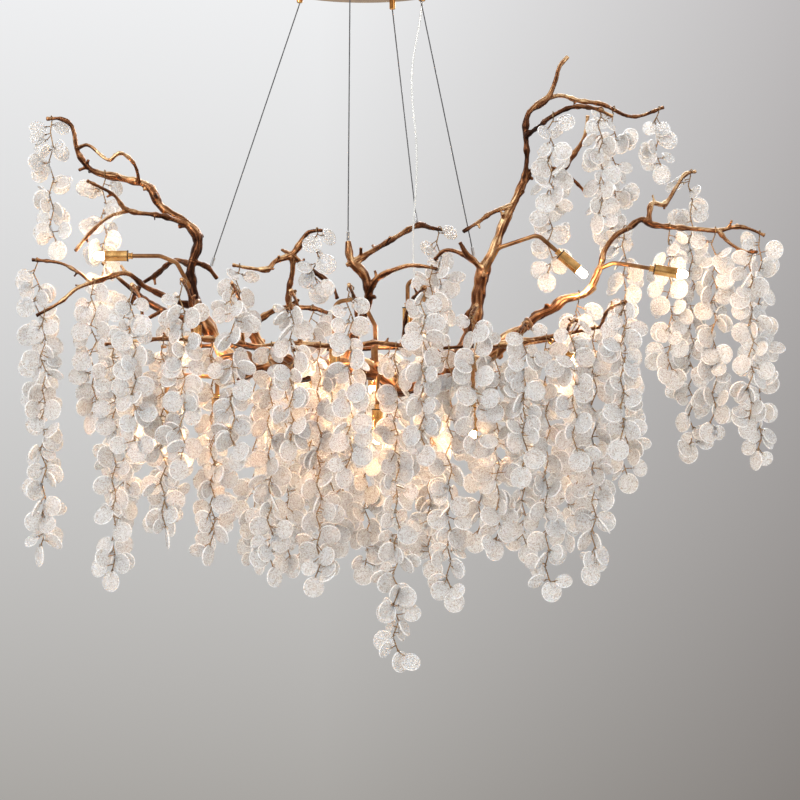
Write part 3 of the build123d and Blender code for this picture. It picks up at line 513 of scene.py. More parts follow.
# The ridge value also holds a painted highlight on the tops of the limbs, so this ramp paints light from
# above.
rub_and_highlight = scaled(tree, ridge_and_highlight.outputs["Fac"], RIDGE_AND_HIGHLIGHT_RUB, UNRUBBED)
rub_and_highlight = scaled(tree, stretch.outputs["Fac"], STRETCH_RUB, rub_and_highlight)
rub_and_highlight = scaled(tree, blotch.outputs["Fac"], BLOTCH_RUB, rub_and_highlight)
shade = add_ramp(tree, rub_and_highlight, [(0.2, (0.026, 0.009, 0.004)), (0.5, (0.13, 0.046, 0.018)),
                             (0.72, (0.38, 0.17, 0.07)), (0.95, (0.88, 0.6, 0.32))])
tree.links.new(shade.outputs["Color"], shader.inputs["Base Color"])
vary(tree, shader, "Roughness", blotch.outputs["Fac"], 0.26, 0.46)
pits = grain(tree, 420.0, 4.0)
add_bump(tree, shader, pits.outputs["Fac"], 0.6, PIT_DEPTH)
print("patina with", len(tree.nodes), "shader nodes")

# %% [markdown]
# ## Bark on the castings
# A casting's CAD solid is a chain of straight flats, but a twig flows. Each limb therefore becomes
# a smooth tube through the same points. It is a little slimmer between its knots, as on a real
# twig, and it has a knot where a rope ends, a blunt knob at its tip and spurs where shoots were cut
# off. A voxel remesh fuses the tubes of a casting into one skin, as the metal flowed together in
# its mould. Then each point of the skin looks up the nearest place on its limbs: noise that hardly
# changes along the limb but quickly round it makes the ridges, and slow noise makes swellings.

# %% Smooth limbs
SAMPLE_STEP = 3.0                         # millimetres between the places of a limb
TUBE_SIDES = 10
KNOT_SPACING = 30.0                       # millimetres of limb for each knot
KNOT_RISE = 0.42                          # share of the limb's radius
KNOT_WIDTH = 1.3                          # share of the limb's radius
BLUNT_TIP = 2.5                           # least radius in millimetres
SLIMMING = 0.17                           # share of the radius that a limb lacks between its knots
MOST_SLIMMING = 1.3                       # millimetres
BOSS_REACH = 16.0                         # millimetres from a limb to the foot of its rope
SOFTENING = 0.3                           # millimetres that the smoothing of the skin takes off
rope_feet = [bar_ends(name)[0] / MM for name in ROPES]


def flow(before, start, end, after, share):
    """A point of the smooth line from start to end, which heeds the points before and after."""
    length = (end - start).length
    leave = (end - before) * (length / (length + (start - before).length))
    arrive = (after - start) * (length / (length + (after - end).length))
    square, cube = share ** 2, share ** 3
    return (start * (2 * cube - 3 * square + 1) + leave * (cube - 2 * square + share)
            + end * (3 * square - 2 * cube) + arrive * (cube - square))


def places_along(limb):
    """Places on a limb: centre, direction, radius and distance from its foot, in millimetres."""
    points = [Vector(p[:3]) for p in limb]
    last = len(limb) - 1
    line = []
    for i in range(last):
        before = points[max(i - 1, 0)]
        after = points[min(i + 2, last)]
        count = max(2, round((points[i + 1] - points[i]).length / SAMPLE_STEP))
        for k in range(count):
            place = flow(before, points[i], points[i + 1], after, k / count)
            line.append((place, limb[i][3] + (limb[i + 1][3] - limb[i][3]) * k / count))
    line.append((points[last], limb[last][3]))
    found = []
    run = 0.0
    for i, (place, radius) in enumerate(line):
        behind = line[max(i - 1, 0)][0]
        ahead = line[min(i + 1, len(line) - 1)][0]
        run += (place - behind).length
        found.append((place, (ahead - behind).normalized(), radius, run))
    return found


def limb_tube(limb, draw):
    """The smooth tube of a limb with its knots, as points and faces in metres."""
    places = places_along(limb)
    length = places[-1][3]
    knots = [length] + [draw.uniform(0, length) for _ in range(int(length / KNOT_SPACING))]
    for centre, _, radius, run in places:
        if any((centre - foot).length < radius + BOSS_REACH for foot in rope_feet):
            knots.append(run)

    def reach(i, turn):
        _, _, radius, run = places[i]
        rise = sum(math.exp(-((run - knot) / (KNOT_WIDTH * radius)) ** 2) for knot in knots)
        slim = max(radius - min(radius * SLIMMING, MOST_SLIMMING), BLUNT_TIP)
        return slim * (1 + KNOT_RISE * min(1, rise)) + SOFTENING

    points = [p * MM for p in skin([place[0] for place in places], TUBE_SIDES, reach)]
    return points, ring_faces(len(places), TUBE_SIDES)


print("the trunk is", round(places_along(TRUNK)[-1][3]), "mm long")

# %% Spurs of cut-off shoots
SPUR_SPACING = 70.0                       # millimetres of limb for each spur
BARE_SHARE = 8                            # one part in so many has no spur, at each end of a limb
SPUR_LEAN = (0.3, 0.9)                    # how far a spur leans towards the limb's tip
SPUR_LENGTH = (4.0, 12.0)
SPUR_THICKNESS = (0.4, 0.55)              # share of the limb's radius
THINNEST_SPUR = 1.8
SPUR_SIDES = 8

# Share of the spur's length, bend outwards in millimetres and share of the spur's radius.
SPUR_SHAPE = ((0.0, 0.0, 1.4), (0.5, 0.0, 1.0), (0.8, 1.0, 0.95), (1.0, 2.0, 1.1))


def cut_shoots(limb, draw):
    """Short spurs with blunt tips on a limb, as (points, faces) in metres."""
    spurs = []
    places = places_along(limb)
    inner = places[len(places) // BARE_SHARE:-len(places) // BARE_SHARE]
    for _ in range(int(places[-1][3] / SPUR_SPACING)):
        centre, along, radius, _ = draw.choice(inner)
        turn = draw.uniform(0, 2 * math.pi)
        side = along.orthogonal().normalized()
        out = side * math.cos(turn) + along.cross(side) * math.sin(turn)
        lean = (out + along * draw.uniform(*SPUR_LEAN)).normalized()
        length = radius + draw.uniform(*SPUR_LENGTH)
        thick = max(THINNEST_SPUR, radius * draw.uniform(*SPUR_THICKNESS))
        line = [centre + lean * length * share + out * bend for share, bend, _ in SPUR_SHAPE]
        widths = [thick * width for _, _, width in SPUR_SHAPE]
        points = [p * MM for p in skin(line, SPUR_SIDES, lambda i, turn: widths[i] + SOFTENING)]
        spurs.append((points, ring_faces(len(line), SPUR_SIDES)))
    return spurs


# %% Ridges of the bark
RIDGE_HEIGHT = 0.19                       # share of the limb's radius
RIDGE_ROUND = 2.7                         # how fast the ridges change round the limb
RIDGE_LENGTH = 26.0                       # millimetres along the limb
FINE_ROUND = 6.0
FINE_LENGTHS = (9.0, 14.0)
FINE_SHARE = 0.4                          # height of the fine ridges beside the coarse ones
SWELLING = 0.08                           # share of the limb's radius
SWELL_LENGTHS = (17.0, 6.0)               # long swellings, and short ones of half their height
SWELL_SLICES = (3.3, 7.7)                 # where the swellings cut through the noise
MIDDLE_WEAR = 0.5                         # ridge value of a point that is neither high nor low
RIDGE_WEAR = 0.75                         # how much more the ridges are rubbed
TOP_PAINTED_HIGHLIGHT = 0.42                           # painted highlight: how much lighter the tops of the limbs are painted, as if lit from above


def settle(piece):
    """Replace a piece's mesh by what its modifiers give."""
    made = bpy.data.meshes.new_from_object(piece.evaluated_get(bpy.context.evaluated_depsgraph_get()))
    piece.modifiers.clear()
    piece.data = made


def carve(mesh, limbs, offset):
    """Ridges and swellings along the limbs, and a value for how high each point stands, with a painted top
    highlight.
    """
    places = [place for limb in limbs for place in places_along(limb)]
    tree = kdtree.KDTree(len(places))
    for i, place in enumerate(places):
        tree.insert(place[0] * MM, i)
    tree.balance()
    wear_and_highlight_values = []
    normals = [vertex.normal.copy() for vertex in mesh.vertices]
    for vertex, normal in zip(mesh.vertices, normals):
        _, i, _ = tree.find(vertex.co)
        centre, along, radius, run = places[i]
        out = vertex.co / MM - centre
        out = (out - along * out.dot(along)).normalized()
        coarse = noise.noise(out * RIDGE_ROUND + Vector((offset, run / RIDGE_LENGTH, offset)))
        along_fine = Vector((run / FINE_LENGTHS[0], offset, run / FINE_LENGTHS[1]))
        fine = noise.noise(out * FINE_ROUND + along_fine)
        swell = noise.noise(Vector((run / SWELL_LENGTHS[0], offset, SWELL_SLICES[0])))
        swell += 0.5 * noise.noise(Vector((run / SWELL_LENGTHS[1], SWELL_SLICES[1], offset)))
        rise = radius * (RIDGE_HEIGHT * (coarse + FINE_SHARE * fine) + SWELLING * swell)
        vertex.co += normal * rise * MM
        # Besides the rubbing of the ridges, the tops of the limbs get a painted highlight, as if lit from
        # above.
        wear_and_highlight = MIDDLE_WEAR + RIDGE_WEAR * coarse + FINE_SHARE * fine + TOP_PAINTED_HIGHLIGHT * normal.z
        wear_and_highlight_values.append(min(1.0, max(0.0, wear_and_highlight)))
    ridges = mesh.attributes.new("ridge_and_highlight", "FLOAT", "POINT")
    ridges.data.foreach_set("value", wear_and_highlight_values)


# %% Bark
VOXEL = 0.0016
SOFTEN_ROUNDS = 3
SEED_STEP = 10.0                          # keeps the noise of the castings apart


def grow_bark(name, limbs, seed):
    """A bark piece over a casting of the CAD model."""
    draw = random.Random(seed)
    heap = Heap()
    for limb in limbs:
        for points, faces in [limb_tube(limb, draw), *cut_shoots(limb, draw)]:
            heap.add(points, faces)
    bark = heap.piece(name + "_bark", [])
    fuse = bark.modifiers.new("fuse", "REMESH")
    fuse.mode = "VOXEL"
    fuse.voxel_size = VOXEL
    soften = bark.modifiers.new("soften", "SMOOTH")
    soften.iterations = SOFTEN_ROUNDS
    settle(bark)
    carve(bark.data, limbs, seed * SEED_STEP)
    bark.data.materials.clear()
    bark.data.materials.append(patina_brass)
    bark.data.shade_smooth()
    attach(bark, "frame")
    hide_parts(name)
    return len(bark.data.polygons)


for seed, (name, limbs) in enumerate(CASTINGS.items(), start=1):
    print(name, "bark with", grow_bark(name, limbs, seed), "faces")

# %% [markdown]
# ## Glass and wire
# The discs are clear glass that was pressed hot and hammered, so their faces are full of shallow
# dents and their rims are thick and bright. Fully clear glass would vanish against a pale backdrop.
# Old pressed glass is a little milky, and a shader gives that with a share of light that wanders
# inside the glass before it comes out. That share also lets a disc glow beside a lit bulb. A narrow
# band of noise draws the net of fine wrinkles as bumps and as thin dark lines of painted shade, which
# stand in for the dark marks that refraction makes. The wire is thin brass, twisted in pairs and
# gone brown.

# %% Hammered glass
GLOW_DEPTH = 0.008                        # how far light wanders in the milky share of the glass
GLASS_IOR = 1.5
GLASS_TINT = (1.0, 0.975, 0.945)
# Painted shade: the dark lines of the wrinkles stand in for the dark marks that refraction makes.
WRINKLE_PAINTED_SHADE = (0.54, 0.44, 0.36)
WRINKLE_SCALE = 170.0                     # about so many wrinkles in a metre
WRINKLE_DETAIL = 1.6
WRINKLE_CURL = 1.6
WRINKLE_DEPTH = 0.003


def pressed_glass(name, clear):
    """Glass with a net of fine wrinkles in bump and painted shade; clear is the share of light that goes
    straight through.
    """
    made, tree, shader = new_material(name, (1.0, 0.99, 0.97), 0.06)
    shader.inputs["Transmission Weight"].default_value = clear
    shader.inputs["IOR"].default_value = GLASS_IOR
    shader.inputs["Subsurface Weight"].default_value = 1.0
    shader.inputs["Subsurface Radius"].default_value = (1.0, 0.9, 0.8)
    shader.inputs["Subsurface Scale"].default_value = GLOW_DEPTH
    wrinkles = grain(tree, WRINKLE_SCALE, WRINKLE_DETAIL)
    wrinkles.inputs["Distortion"].default_value = WRINKLE_CURL
    # The middle of the noise band is painted shade, thin dark lines for the dark marks that refraction makes.
    stops = [(0.44, GLASS_TINT), (0.5, WRINKLE_PAINTED_SHADE), (0.56, GLASS_TINT)]
    tint = add_ramp(tree, wrinkles.outputs["Fac"], stops)
    tree.links.new(tint.outputs["Color"], shader.inputs["Base Color"])
    add_bump(tree, shader, wrinkles.outputs["Fac"], 1.0, WRINKLE_DEPTH)
    vary(tree, shader, "Roughness", wrinkles.outputs["Fac"], 0.02, 0.12)
    return made


hammered_glass = pressed_glass("hammered_glass", clear=0.42)
rim_glass = pressed_glass("rim_glass", clear=0.1)
print("glass for faces and rims ready")

# %% Aged wire
aged_wire, tree, shader = new_material("aged_wire", (0.25, 0.16, 0.07), 0.4, 0.9)
tarnish = grain(tree, 240.0)
shade = add_ramp(tree, tarnish.outputs["Fac"], [(0.35, (0.18, 0.1, 0.048)), (0.6, (0.4, 0.25, 0.12)),
                                               (0.8, (0.66, 0.46, 0.23))])
tree.links.new(shade.outputs["Color"], shader.inputs["Base Color"])
vary(tree, shader, "Roughness", tarnish.outputs["Fac"], 0.3, 0.55)
print("aged wire with", len(tree.nodes), "shader nodes")

# %% [markdown]
# ## How a garland is bent
# A maker hooks the wire over a twig, twists it downwards in a loose zigzag and ties a disc in at
# each bend. The CAD source has the same recipe with the same draws of chance, so the wire and the
# large discs here lie just where the solids are.

# %% Recipe of a garland, in millimetres
FIT_GAP = 0.3
WIRE_RADIUS = 1.2
DISC_RADIUS = 17.0
DISC_BITE = 1.5
BEND_STEP = 24.0
FEWEST_BENDS = 3
ZIGZAG = (2.0, 6.0)
WAVER = 4.0
SPREAD = 50.0
DROOP = (20.0, 50.0)
LAST_DROOP = 80.0
TILT = 35.0
SHANK = 16.0
HOOK_STEP = 45.0
HOOK_POINTS = 7
HOOK_SAG = 0.2


def lean_of(spread, droop, tilt):
    """The way a disc leans out, and the way its face looks, from three angles in degrees."""
    spread, droop, tilt = (math.radians(a) for a in (spread, droop, tilt))
    flat = math.cos(droop)
    out = Vector((math.cos(spread) * flat, math.sin(spread) * flat, -math.sin(droop)))
    level = Vector((-math.sin(spread), math.cos(spread), 0))
    return out, level * math.cos(tilt) + out.cross(level) * math.sin(tilt)


def garland_form(length, seed):
    """Bends of a garland's wire, and each disc's centre, lean and facing, hung from (0, 0, 0)."""
    draw = random.Random(seed)
    hang = length - DISC_RADIUS
    count = max(FEWEST_BENDS, round((hang - SHANK) / BEND_STEP))
    bends = []
    discs = []
    for i in range(count + 1):
        side = 1 if i % 2 else -1
        reach = side * draw.uniform(*ZIGZAG)
        bend = Vector((reach, draw.uniform(-WAVER, WAVER), -SHANK - (hang - SHANK) * i / count))
        bends.append(bend)
        spread = (0 if side > 0 else 180) + draw.uniform(-SPREAD, SPREAD)
        droop = LAST_DROOP if i == count else draw.uniform(*DROOP)
        out, facing = lean_of(spread, droop, draw.uniform(-TILT, TILT))
        if i > 0:
            discs.append((bend + out * (DISC_RADIUS - DISC_BITE), out, facing))
    balance = sum((disc[0] for disc in discs), Vector()) / len(discs)
    balance.z = 0
    return [b - balance for b in bends], [(c - balance, out, facing) for c, out, facing in discs]


def place_on(limb, x):
    """Centre, radius and direction of a limb where it crosses x."""
    for a, b in zip(limb, limb[1:]):
        if min(a[0], b[0]) <= x <= max(a[0], b[0]):
            share = (x - a[0]) / (b[0] - a[0])
            start, end = Vector(a[:3]), Vector(b[:3])
            return start.lerp(end, share), a[3] + (b[3] - a[3]) * share, (end - start).normalized()
    raise ValueError(f"no place at x = {x} on the limb")


def hook_of(limb, x):
    """Points of the hook over a twig, the point straight under it, and the hook's radius."""
    centre, radius, along = place_on(limb, x)
    level = Vector((along.x, along.y, 0))
    steep = level.length
    axis = level.normalized() * math.copysign(1, level.x)
    across = Vector((-axis.y, axis.x, 0))
    clear = radius / steep + WIRE_RADIUS * math.sqrt(max(0, 1 - steep * steep)) / steep + FIT_GAP
    hook_radius = (clear + WIRE_RADIUS) / math.cos(math.radians(HOOK_STEP / 2))
    middle = centre - Vector((0, 0, HOOK_SAG))
    points = []
    for k in range(HOOK_POINTS):
        turn = math.radians(180 + HOOK_STEP / 2 - HOOK_STEP * k)
        spoke = across * math.cos(turn) + Vector((0, 0, 1)) * math.sin(turn)
        points.append(middle + spoke * hook_radius)
    return points, middle - Vector((0, 0, hook_radius)), hook_radius


print(len(garland_form(length=300, seed=1)[1]), "large discs on a garland of 300 mm")

# %% [markdown]
# ## Twisted wire
# Two thin wires twisted together look like one wire with a waist that turns round it. A single skin
# with a two-lobed section that turns along the line shows the same light and dark marks with far
# fewer faces than two separate strands.

# %% Twisted wire
WIRE, FACE, RIM = range(3)                # places of the three finishes in a garland's mesh
TWIST_PITCH = 9.0                         # one turn of the pair
TWIST_STEP = 1.7
TWIST_SIDES = 6
WAIST = 0.42                              # least share of the wire's radius


def even_steps(corners, step):
    """Points along a bent line, evenly spaced on each straight run."""
    line = []
    for a, b in zip(corners, corners[1:]):
        count = max(1, round((b - a).length / step))
        line += [a.lerp(b, i / count) for i in range(count)]
    return line + [corners[-1]]


def twist_wire(heap, corners, radius):
    """A twisted pair of wires along a bent line."""
    line = even_steps(corners, TWIST_STEP)

    def reach(i, turn):
        lobe = abs(math.cos(turn - 2 * math.pi * i * TWIST_STEP / TWIST_PITCH))
        return radius * (WAIST + (1 - WAIST) * lobe)

    points = [p * MM for p in skin(line, TWIST_SIDES, reach)]
    heap.add(points, ring_faces(len(line), TWIST_SIDES), WIRE)


# %% [markdown]
# ## A hammered disc
# Each disc is built from rings of points on both faces and one ring on the rim. The inner points go
# up or down by chance, which makes the hammer dents, the last ring but one stands proud as the
# thick bead of the rim, and the outline wavers a little because the glass was pressed by hand.

# %% Hammered disc
DISC_THICKNESS = 3.0
DISC_SEGMENTS = 20
RING_SHARES = (0.34, 0.6, 0.8, 0.93)
RING_HEIGHTS = (0.72, 0.68, 0.74, 1.0)    # shares of half the thickness
THIN_SHARE = 0.55                         # share of the thickness that doesn't shrink with the disc
DENT = 0.42
OUTLINE_WAVER = 0.035
OUTLINE_WAVES = (0.6, 0.4)                # shares of two waves and of three waves round the rim
FACE_POINTS = 1 + DISC_SEGMENTS * len(RING_SHARES)


def disc_faces():
    """Faces of a disc, a fan and quads on both sides, and apart from them those of the rim's bead."""
    faces = []
    bead = []
    rim = 2 * FACE_POINTS
    for side in (0, 1):
        base = side * FACE_POINTS
        for k in range(DISC_SEGMENTS):
            after = (k + 1) % DISC_SEGMENTS
            strip = [[base, base + 1 + k, base + 1 + after]]
            for r in range(len(RING_SHARES)):
                inner = base + 1 + r * DISC_SEGMENTS
                outer = inner + DISC_SEGMENTS if r + 1 < len(RING_SHARES) else rim
                strip.append([inner + k, outer + k, outer + after, inner + after])
            if side:
                strip = [face[::-1] for face in strip]
            faces += strip[:-1]
            bead.append(strip[-1])
    return faces, bead


DISC_FACES, BEAD_FACES = disc_faces()


def press_disc(heap, centre, facing, radius, draw):
    """One hammered disc."""
    across = facing.orthogonal().normalized()
    up = facing.cross(across)
    half = DISC_THICKNESS / 2 * (THIN_SHARE + (1 - THIN_SHARE) * radius / DISC_RADIUS)
    phase = draw.uniform(0, 2 * math.pi)
    two, three = OUTLINE_WAVES
    spokes = []
    for k in range(DISC_SEGMENTS):
        turn = 2 * math.pi * k / DISC_SEGMENTS
        waves = math.sin(2 * turn + phase) * two + math.sin(3 * turn - phase) * three
        waver = 1 - OUTLINE_WAVER * (1 + waves) / 2
        spokes.append((across * math.cos(turn) + up * math.sin(turn)) * radius * waver)
    points = []
    for face in (1, -1):
        points.append(centre + facing * face * half * RING_HEIGHTS[0])
        for share, height in zip(RING_SHARES, RING_HEIGHTS):
            dent = DENT if height < 1 else 0
            for spoke in spokes:
                rise = half * height + draw.uniform(-dent, dent)
                points.append(centre + spoke * share + facing * face * rise)
    points += [centre + spoke for spoke in spokes]
    heap.add([p * MM for p in points], DISC_FACES, FACE)
    heap.add([], [[i - len(points) for i in face] for face in BEAD_FACES], RIM)


print(len(DISC_FACES) + len(BEAD_FACES), "faces on a disc")

# %% Wire loop at a disc
LOOP_RADIUS = 2.6
LOOP_STEPS = 9
LOOP_SIDES = 4


def tie_loop(heap, rim, out, facing):
    """The loop of wire that goes round a disc's rim and through its hole."""
    line = []
    for k in range(LOOP_STEPS + 1):
        turn = 2 * math.pi * k / LOOP_STEPS
        line.append(rim + (out * math.cos(turn) + facing * math.sin(turn)) * LOOP_RADIUS)
    points = [p * MM for p in skin(line, LOOP_SIDES, lambda i, turn: WIRE_RADIUS * WAIST)]
    heap.add(points, ring_faces(len(line), LOOP_SIDES), WIRE)


# %% [markdown]
# ## Hanging the garlands
# Sixteen outer garlands swing on their hooks, and the inner ones are wound fast round their twigs.
# Each is given by its limb, its place along x and its length, as in the CAD source.

# %% Garlands that swing, as (limb, x, length) in millimetres
SWINGING = {
    "garland_left_long": (SPRAY_FRONT, -500, 385),
    "garland_left_outer": (SPRAY_OUTER, -520, 245),
    "garland_left_crown": (LEFT_ARCH, -506, 215),
    "garland_front_1": (FRONT_LEFT, -385, 370),
    "garland_front_2": (FRONT_LEFT, -308, 310),
    "garland_front_3": (FRONT_LEFT, -231, 335),
    "garland_front_4": (FRONT_MIDDLE_BAR, -142, 360),
    "garland_front_5": (FRONT_MIDDLE_BAR, -66, 375),
    "garland_front_long": (FRONT_MIDDLE_BAR, 52, 490),
    "garland_front_6": (FRONT_RIGHT_BAR, 134, 395),
    "garland_front_7": (FRONT_RIGHT_BAR, 209, 320),
    "garland_front_8": (FRONT_RIGHT_BAR, 285, 395),
    "garland_front_9": (FRONT_RIGHT_BAR, 360, 385),
    "garland_right_tip": (FAR_RIGHT, 642, 370),
    "garland_right_sprig": (FAR_SPRIG, 538, 465),
    "garland_crown_tip": (CROWN_TOP, 484, 110),
}

# %% Garlands that are wound fast
WOUND = {
    "garlands_left": [(SPRAY_FRONT, -424, 225), (LEFT_ARCH, -422, 235), (SPRAY_HIGH, -400, 330),
                      (SPRAY_LOW, -383, 285), (SPRAY_BACK, -312, 300), (LEFT_SHOOTS[0], -348, 250),
                      (LEFT_SHOOTS[1], -272, 285), (LEFT_SHOOTS[2], -196, 265)],
    "garlands_middle": [(MID_LEFT_ZIG, -194, 100), (MID_LEFT_ARM, -80, 310), (MID_LEFT_ZIG, -72, 100),
                        (MIDDLE_LOW, 107, 320), (MIDDLE_RIGHT, 123, 175), (TRUNK, -122, 320),
                        (TRUNK, -50, 300), (TRUNK, 4, 330), (TRUNK, 106, 310), (MIDDLE_SHOOTS[0], -106, 240),
                        (MIDDLE_SHOOTS[1], -18, 290), (MIDDLE_SHOOTS[2], 93, 255)],
    "garlands_back": [(BACK_LEFT, -326, 300), (BACK_LEFT, -252, 330), (BACK_LEFT, -181, 360),
                      (BACK_MIDDLE_BAR, -110, 350), (BACK_MIDDLE_BAR, -35, 330), (BACK_MIDDLE_BAR, 40, 345),
                      (BACK_MIDDLE_BAR, 115, 310), (BACK_RIGHT, 190, 320), (BACK_RIGHT, 262, 350),
                      (BACK_RIGHT, 334, 340)],
    "garlands_right": [(RIGHT_BOUGH, 343, 370), (FAR_RIGHT, 420, 410), (FAR_RIGHT, 496, 250),
                       (FAR_RIGHT, 568, 330), (FAR_SHOOT, 618, 285), (RIGHT_SHOOTS[0], 172.5, 215),
                       (RIGHT_SHOOTS[1], 248, 235), (RIGHT_SHOOTS[2], 324, 215), (RIGHT_SHOOTS[3], 397, 225)],
    "garlands_crown": [(CROWN_FRONT, 300, 140), (CROWN, 301, 185), (CROWN_FRONT, 378, 180),
                       (CROWN_TOP, 408, 230)],
}
print(len(SWINGING), "garlands swing,", sum(len(spots) for spots in WOUND.values()), "are wound fast")

# %% [markdown]
# ## Room for a disc
# Between the bends the maker adds smaller discs on side stalks, until the garland is full. They get
# their own draws of chance. A drawn disc is drawn again if it would cut through another disc, a
# branch, a lamp or a rope, at rest or at either end of its garland's swing, or if it would leave
# the CAD model's box by more than a little. After a few draws its place stays empty. A tree of
# places answers which branch is nearest, and a grid of cells answers which discs are near, because
# to compare each disc with all others would take too long.

# %% Where the branches, lamps and ropes are
FRAME_MARGIN = 3.0
RIM_SHARES = (0.0, 0.5, 1.0)              # shares of a disc's radius where it is tested
RIM_SPOKES = 8

solid_places = []
for limbs in CASTINGS.values():
    for limb in limbs:
        solid_places += [(centre, radius) for centre, _, radius, _ in places_along(limb)]
for name in nodes:
    if name.startswith(("lamp_", "bulb_", "rope_")):
        solid_places += [(vertex.co / MM, 0.0) for vertex in nodes[name].data.vertices]
frame_tree = kdtree.KDTree(len(solid_places))
for i, (place, _) in enumerate(solid_places):
    frame_tree.insert(place, i)
frame_tree.balance()


def cuts_frame(disc):
    """Whether a disc (centre, facing, radius) comes too near to a branch, a lamp or a rope."""
    centre, facing, radius = disc
    across = facing.orthogonal().normalized()
    up = facing.cross(across)
    for share in RIM_SHARES:
        for k in range(RIM_SPOKES):
            turn = 2 * math.pi * k / RIM_SPOKES
            place = centre + (across * math.cos(turn) + up * math.sin(turn)) * radius * share
            _, i, distance = frame_tree.find(place)
            if distance < solid_places[i][1] + FRAME_MARGIN:
                return True
    return False


print(len(solid_places), "places on branches, lamps and ropes")

# %% Discs that hang already
CELL = 45.0                               # millimetres, more than a disc is wide
hung = {}                                 # discs by the cell of their centre
hinges = {joint["child"]: joint for joint in frame["joints"] if joint["type"] == "hinge"}


def cell_of(place):
    """The cell of a coarse grid that a place lies in."""
    return tuple(math.floor(value / CELL) for value in place)


def swung(disc, body):
    """A disc at rest and, where its garland swings, at both ends of the swing."""
    places = [disc]
    if body in hinges:
        pivot = Vector(hinges[body]["pos_m"]) / MM
        for angle in hinges[body]["range_deg"]:
            turn = Matrix.Rotation(math.radians(angle), 3, Vector(hinges[body]["axis"]))
            places.append((pivot + turn @ (disc[0] - pivot), turn @ disc[1], disc[2]))
    return places


def note_disc(disc, body):
    """Remember a disc at all the places that its swing takes it to."""
    for i, place in enumerate(swung(disc, body)):
        at_rest = i == 0
        hung.setdefault(cell_of(place[0]), []).append((place, body, at_rest))


def discs_near(place):
    """Discs whose centres lie in the cells round a place."""
    column, row, level = cell_of(place)
    steps = (-1, 0, 1)
    cells = [(column + i, row + j, level + k) for i in steps for j in steps for k in steps]
    return [entry for cell in cells for entry in hung.get(cell, [])]


print(len(hinges), "garlands hang on hinges")

# %% Is there room?
DISC_MARGIN = 1.5
SWING_MARGIN = 4.0                        # between garlands that swing past each other
PROUD = 9.0                               # how far discs may stand out of the CAD model's box
NEARLY_PARALLEL = 0.1                     # sine of the angle between two discs


def discs_cross(one, other):
    """Whether two discs both reach one stretch of the line where their planes cross."""
    apart = other[0] - one[0]
    reach_one = one[2] + DISC_MARGIN
    reach_other = other[2] + DISC_MARGIN
    if apart.length > reach_one + reach_other:
        return False
    line = one[1].cross(other[1])
    if line.length < NEARLY_PARALLEL:
        return abs(apart.dot(one[1])) < DISC_THICKNESS + DISC_MARGIN
    line.normalize()
    off_one = apart.dot(other[1]) / one[1].cross(line).dot(other[1])
    off_other = -apart.dot(one[1]) / other[1].cross(line).dot(one[1])
    if abs(off_one) > reach_one or abs(off_other) > reach_other:
        return False
    half_one = math.sqrt(reach_one ** 2 - off_one ** 2)
    half_other = math.sqrt(reach_other ** 2 - off_other ** 2)
    return abs(apart.dot(line)) < half_one + half_other


def stands_out(disc):
    """Whether a disc leaves the CAD model's box too far."""
    centre, facing, radius = disc
    for axis in range(3):
        reach = radius * math.sqrt(max(0.0, 1 - facing[axis] ** 2))
        if centre[axis] - reach < cad_low[axis] / MM - PROUD:
            return True
        if centre[axis] + reach > cad_high[axis] / MM + PROUD:
            return True
    return False


def has_room(disc, body):
    """Whether a disc cuts no other disc, branch or lamp, at rest and when garlands swing."""
    if stands_out(disc):
        return False
    for i, place in enumerate(swung(disc, body)):
        at_rest = i == 0
        wide = (place[0], place[1], place[2] + SWING_MARGIN)
        for other, other_body, other_at_rest in discs_near(place[0]):
            if other_body != body and discs_cross(wide, other):
                return False
            if other_body == body and at_rest and other_at_rest and discs_cross(place, other):
                return False
        if cuts_frame(place):
            return False
    return True


# %% Wire and discs of one garland
SMALL_DISC = (12.0, 16.5)                 # radius
STALK = (4.0, 15.0)
STALK_WIRE = 0.8                          # share of the wire's radius
SIDE_SPREAD = 65.0                        # degrees that a stalk may turn from left or right
SMALL_DROOP = (-10.0, 60.0)
SMALL_TILT = 50.0
DISCS_PER_RUN = 2
TRIES = 10
EXTRA_SEEDS = 1000


def garland_place(spot, seed):
    """Hook, bends and large discs of one garland at its place on a twig."""
    limb, x, length = spot
    hook, top, hook_radius = hook_of(limb, x)
    bends, discs = garland_form(length - hook_radius, seed)
    straight = place_on(limb, x)[0]
    centres = [place[0] for place in places_along(limb)]
    smooth = min(centres, key=lambda centre: (centre - straight).length)
    hook = [point + smooth - straight for point in hook]
    bends = [top + bend for bend in bends]
    return hook, bends, [(top + centre, out, facing) for centre, out, facing in discs]


def small_disc(heap, run, draw, body):
    """A small disc on a stalk from a run of the wire; gives 1 if there was room for it, or 0."""
    for _ in range(TRIES):
        start = run[0].lerp(run[1], draw.random())
        spread = draw.choice((0, 180)) + draw.uniform(-SIDE_SPREAD, SIDE_SPREAD)
        out, facing = lean_of(spread, draw.uniform(*SMALL_DROOP), draw.uniform(-SMALL_TILT, SMALL_TILT))
        radius = draw.uniform(*SMALL_DISC)
        tip = start + out * draw.uniform(*STALK)
        disc = (tip + out * (radius - DISC_BITE), facing, radius)
        if has_room(disc, body):
            note_disc(disc, body)
            twist_wire(heap, [start, tip], WIRE_RADIUS * STALK_WIRE)
            press_disc(heap, *disc, draw)
            tie_loop(heap, tip, out, facing)
            return 1
    return 0


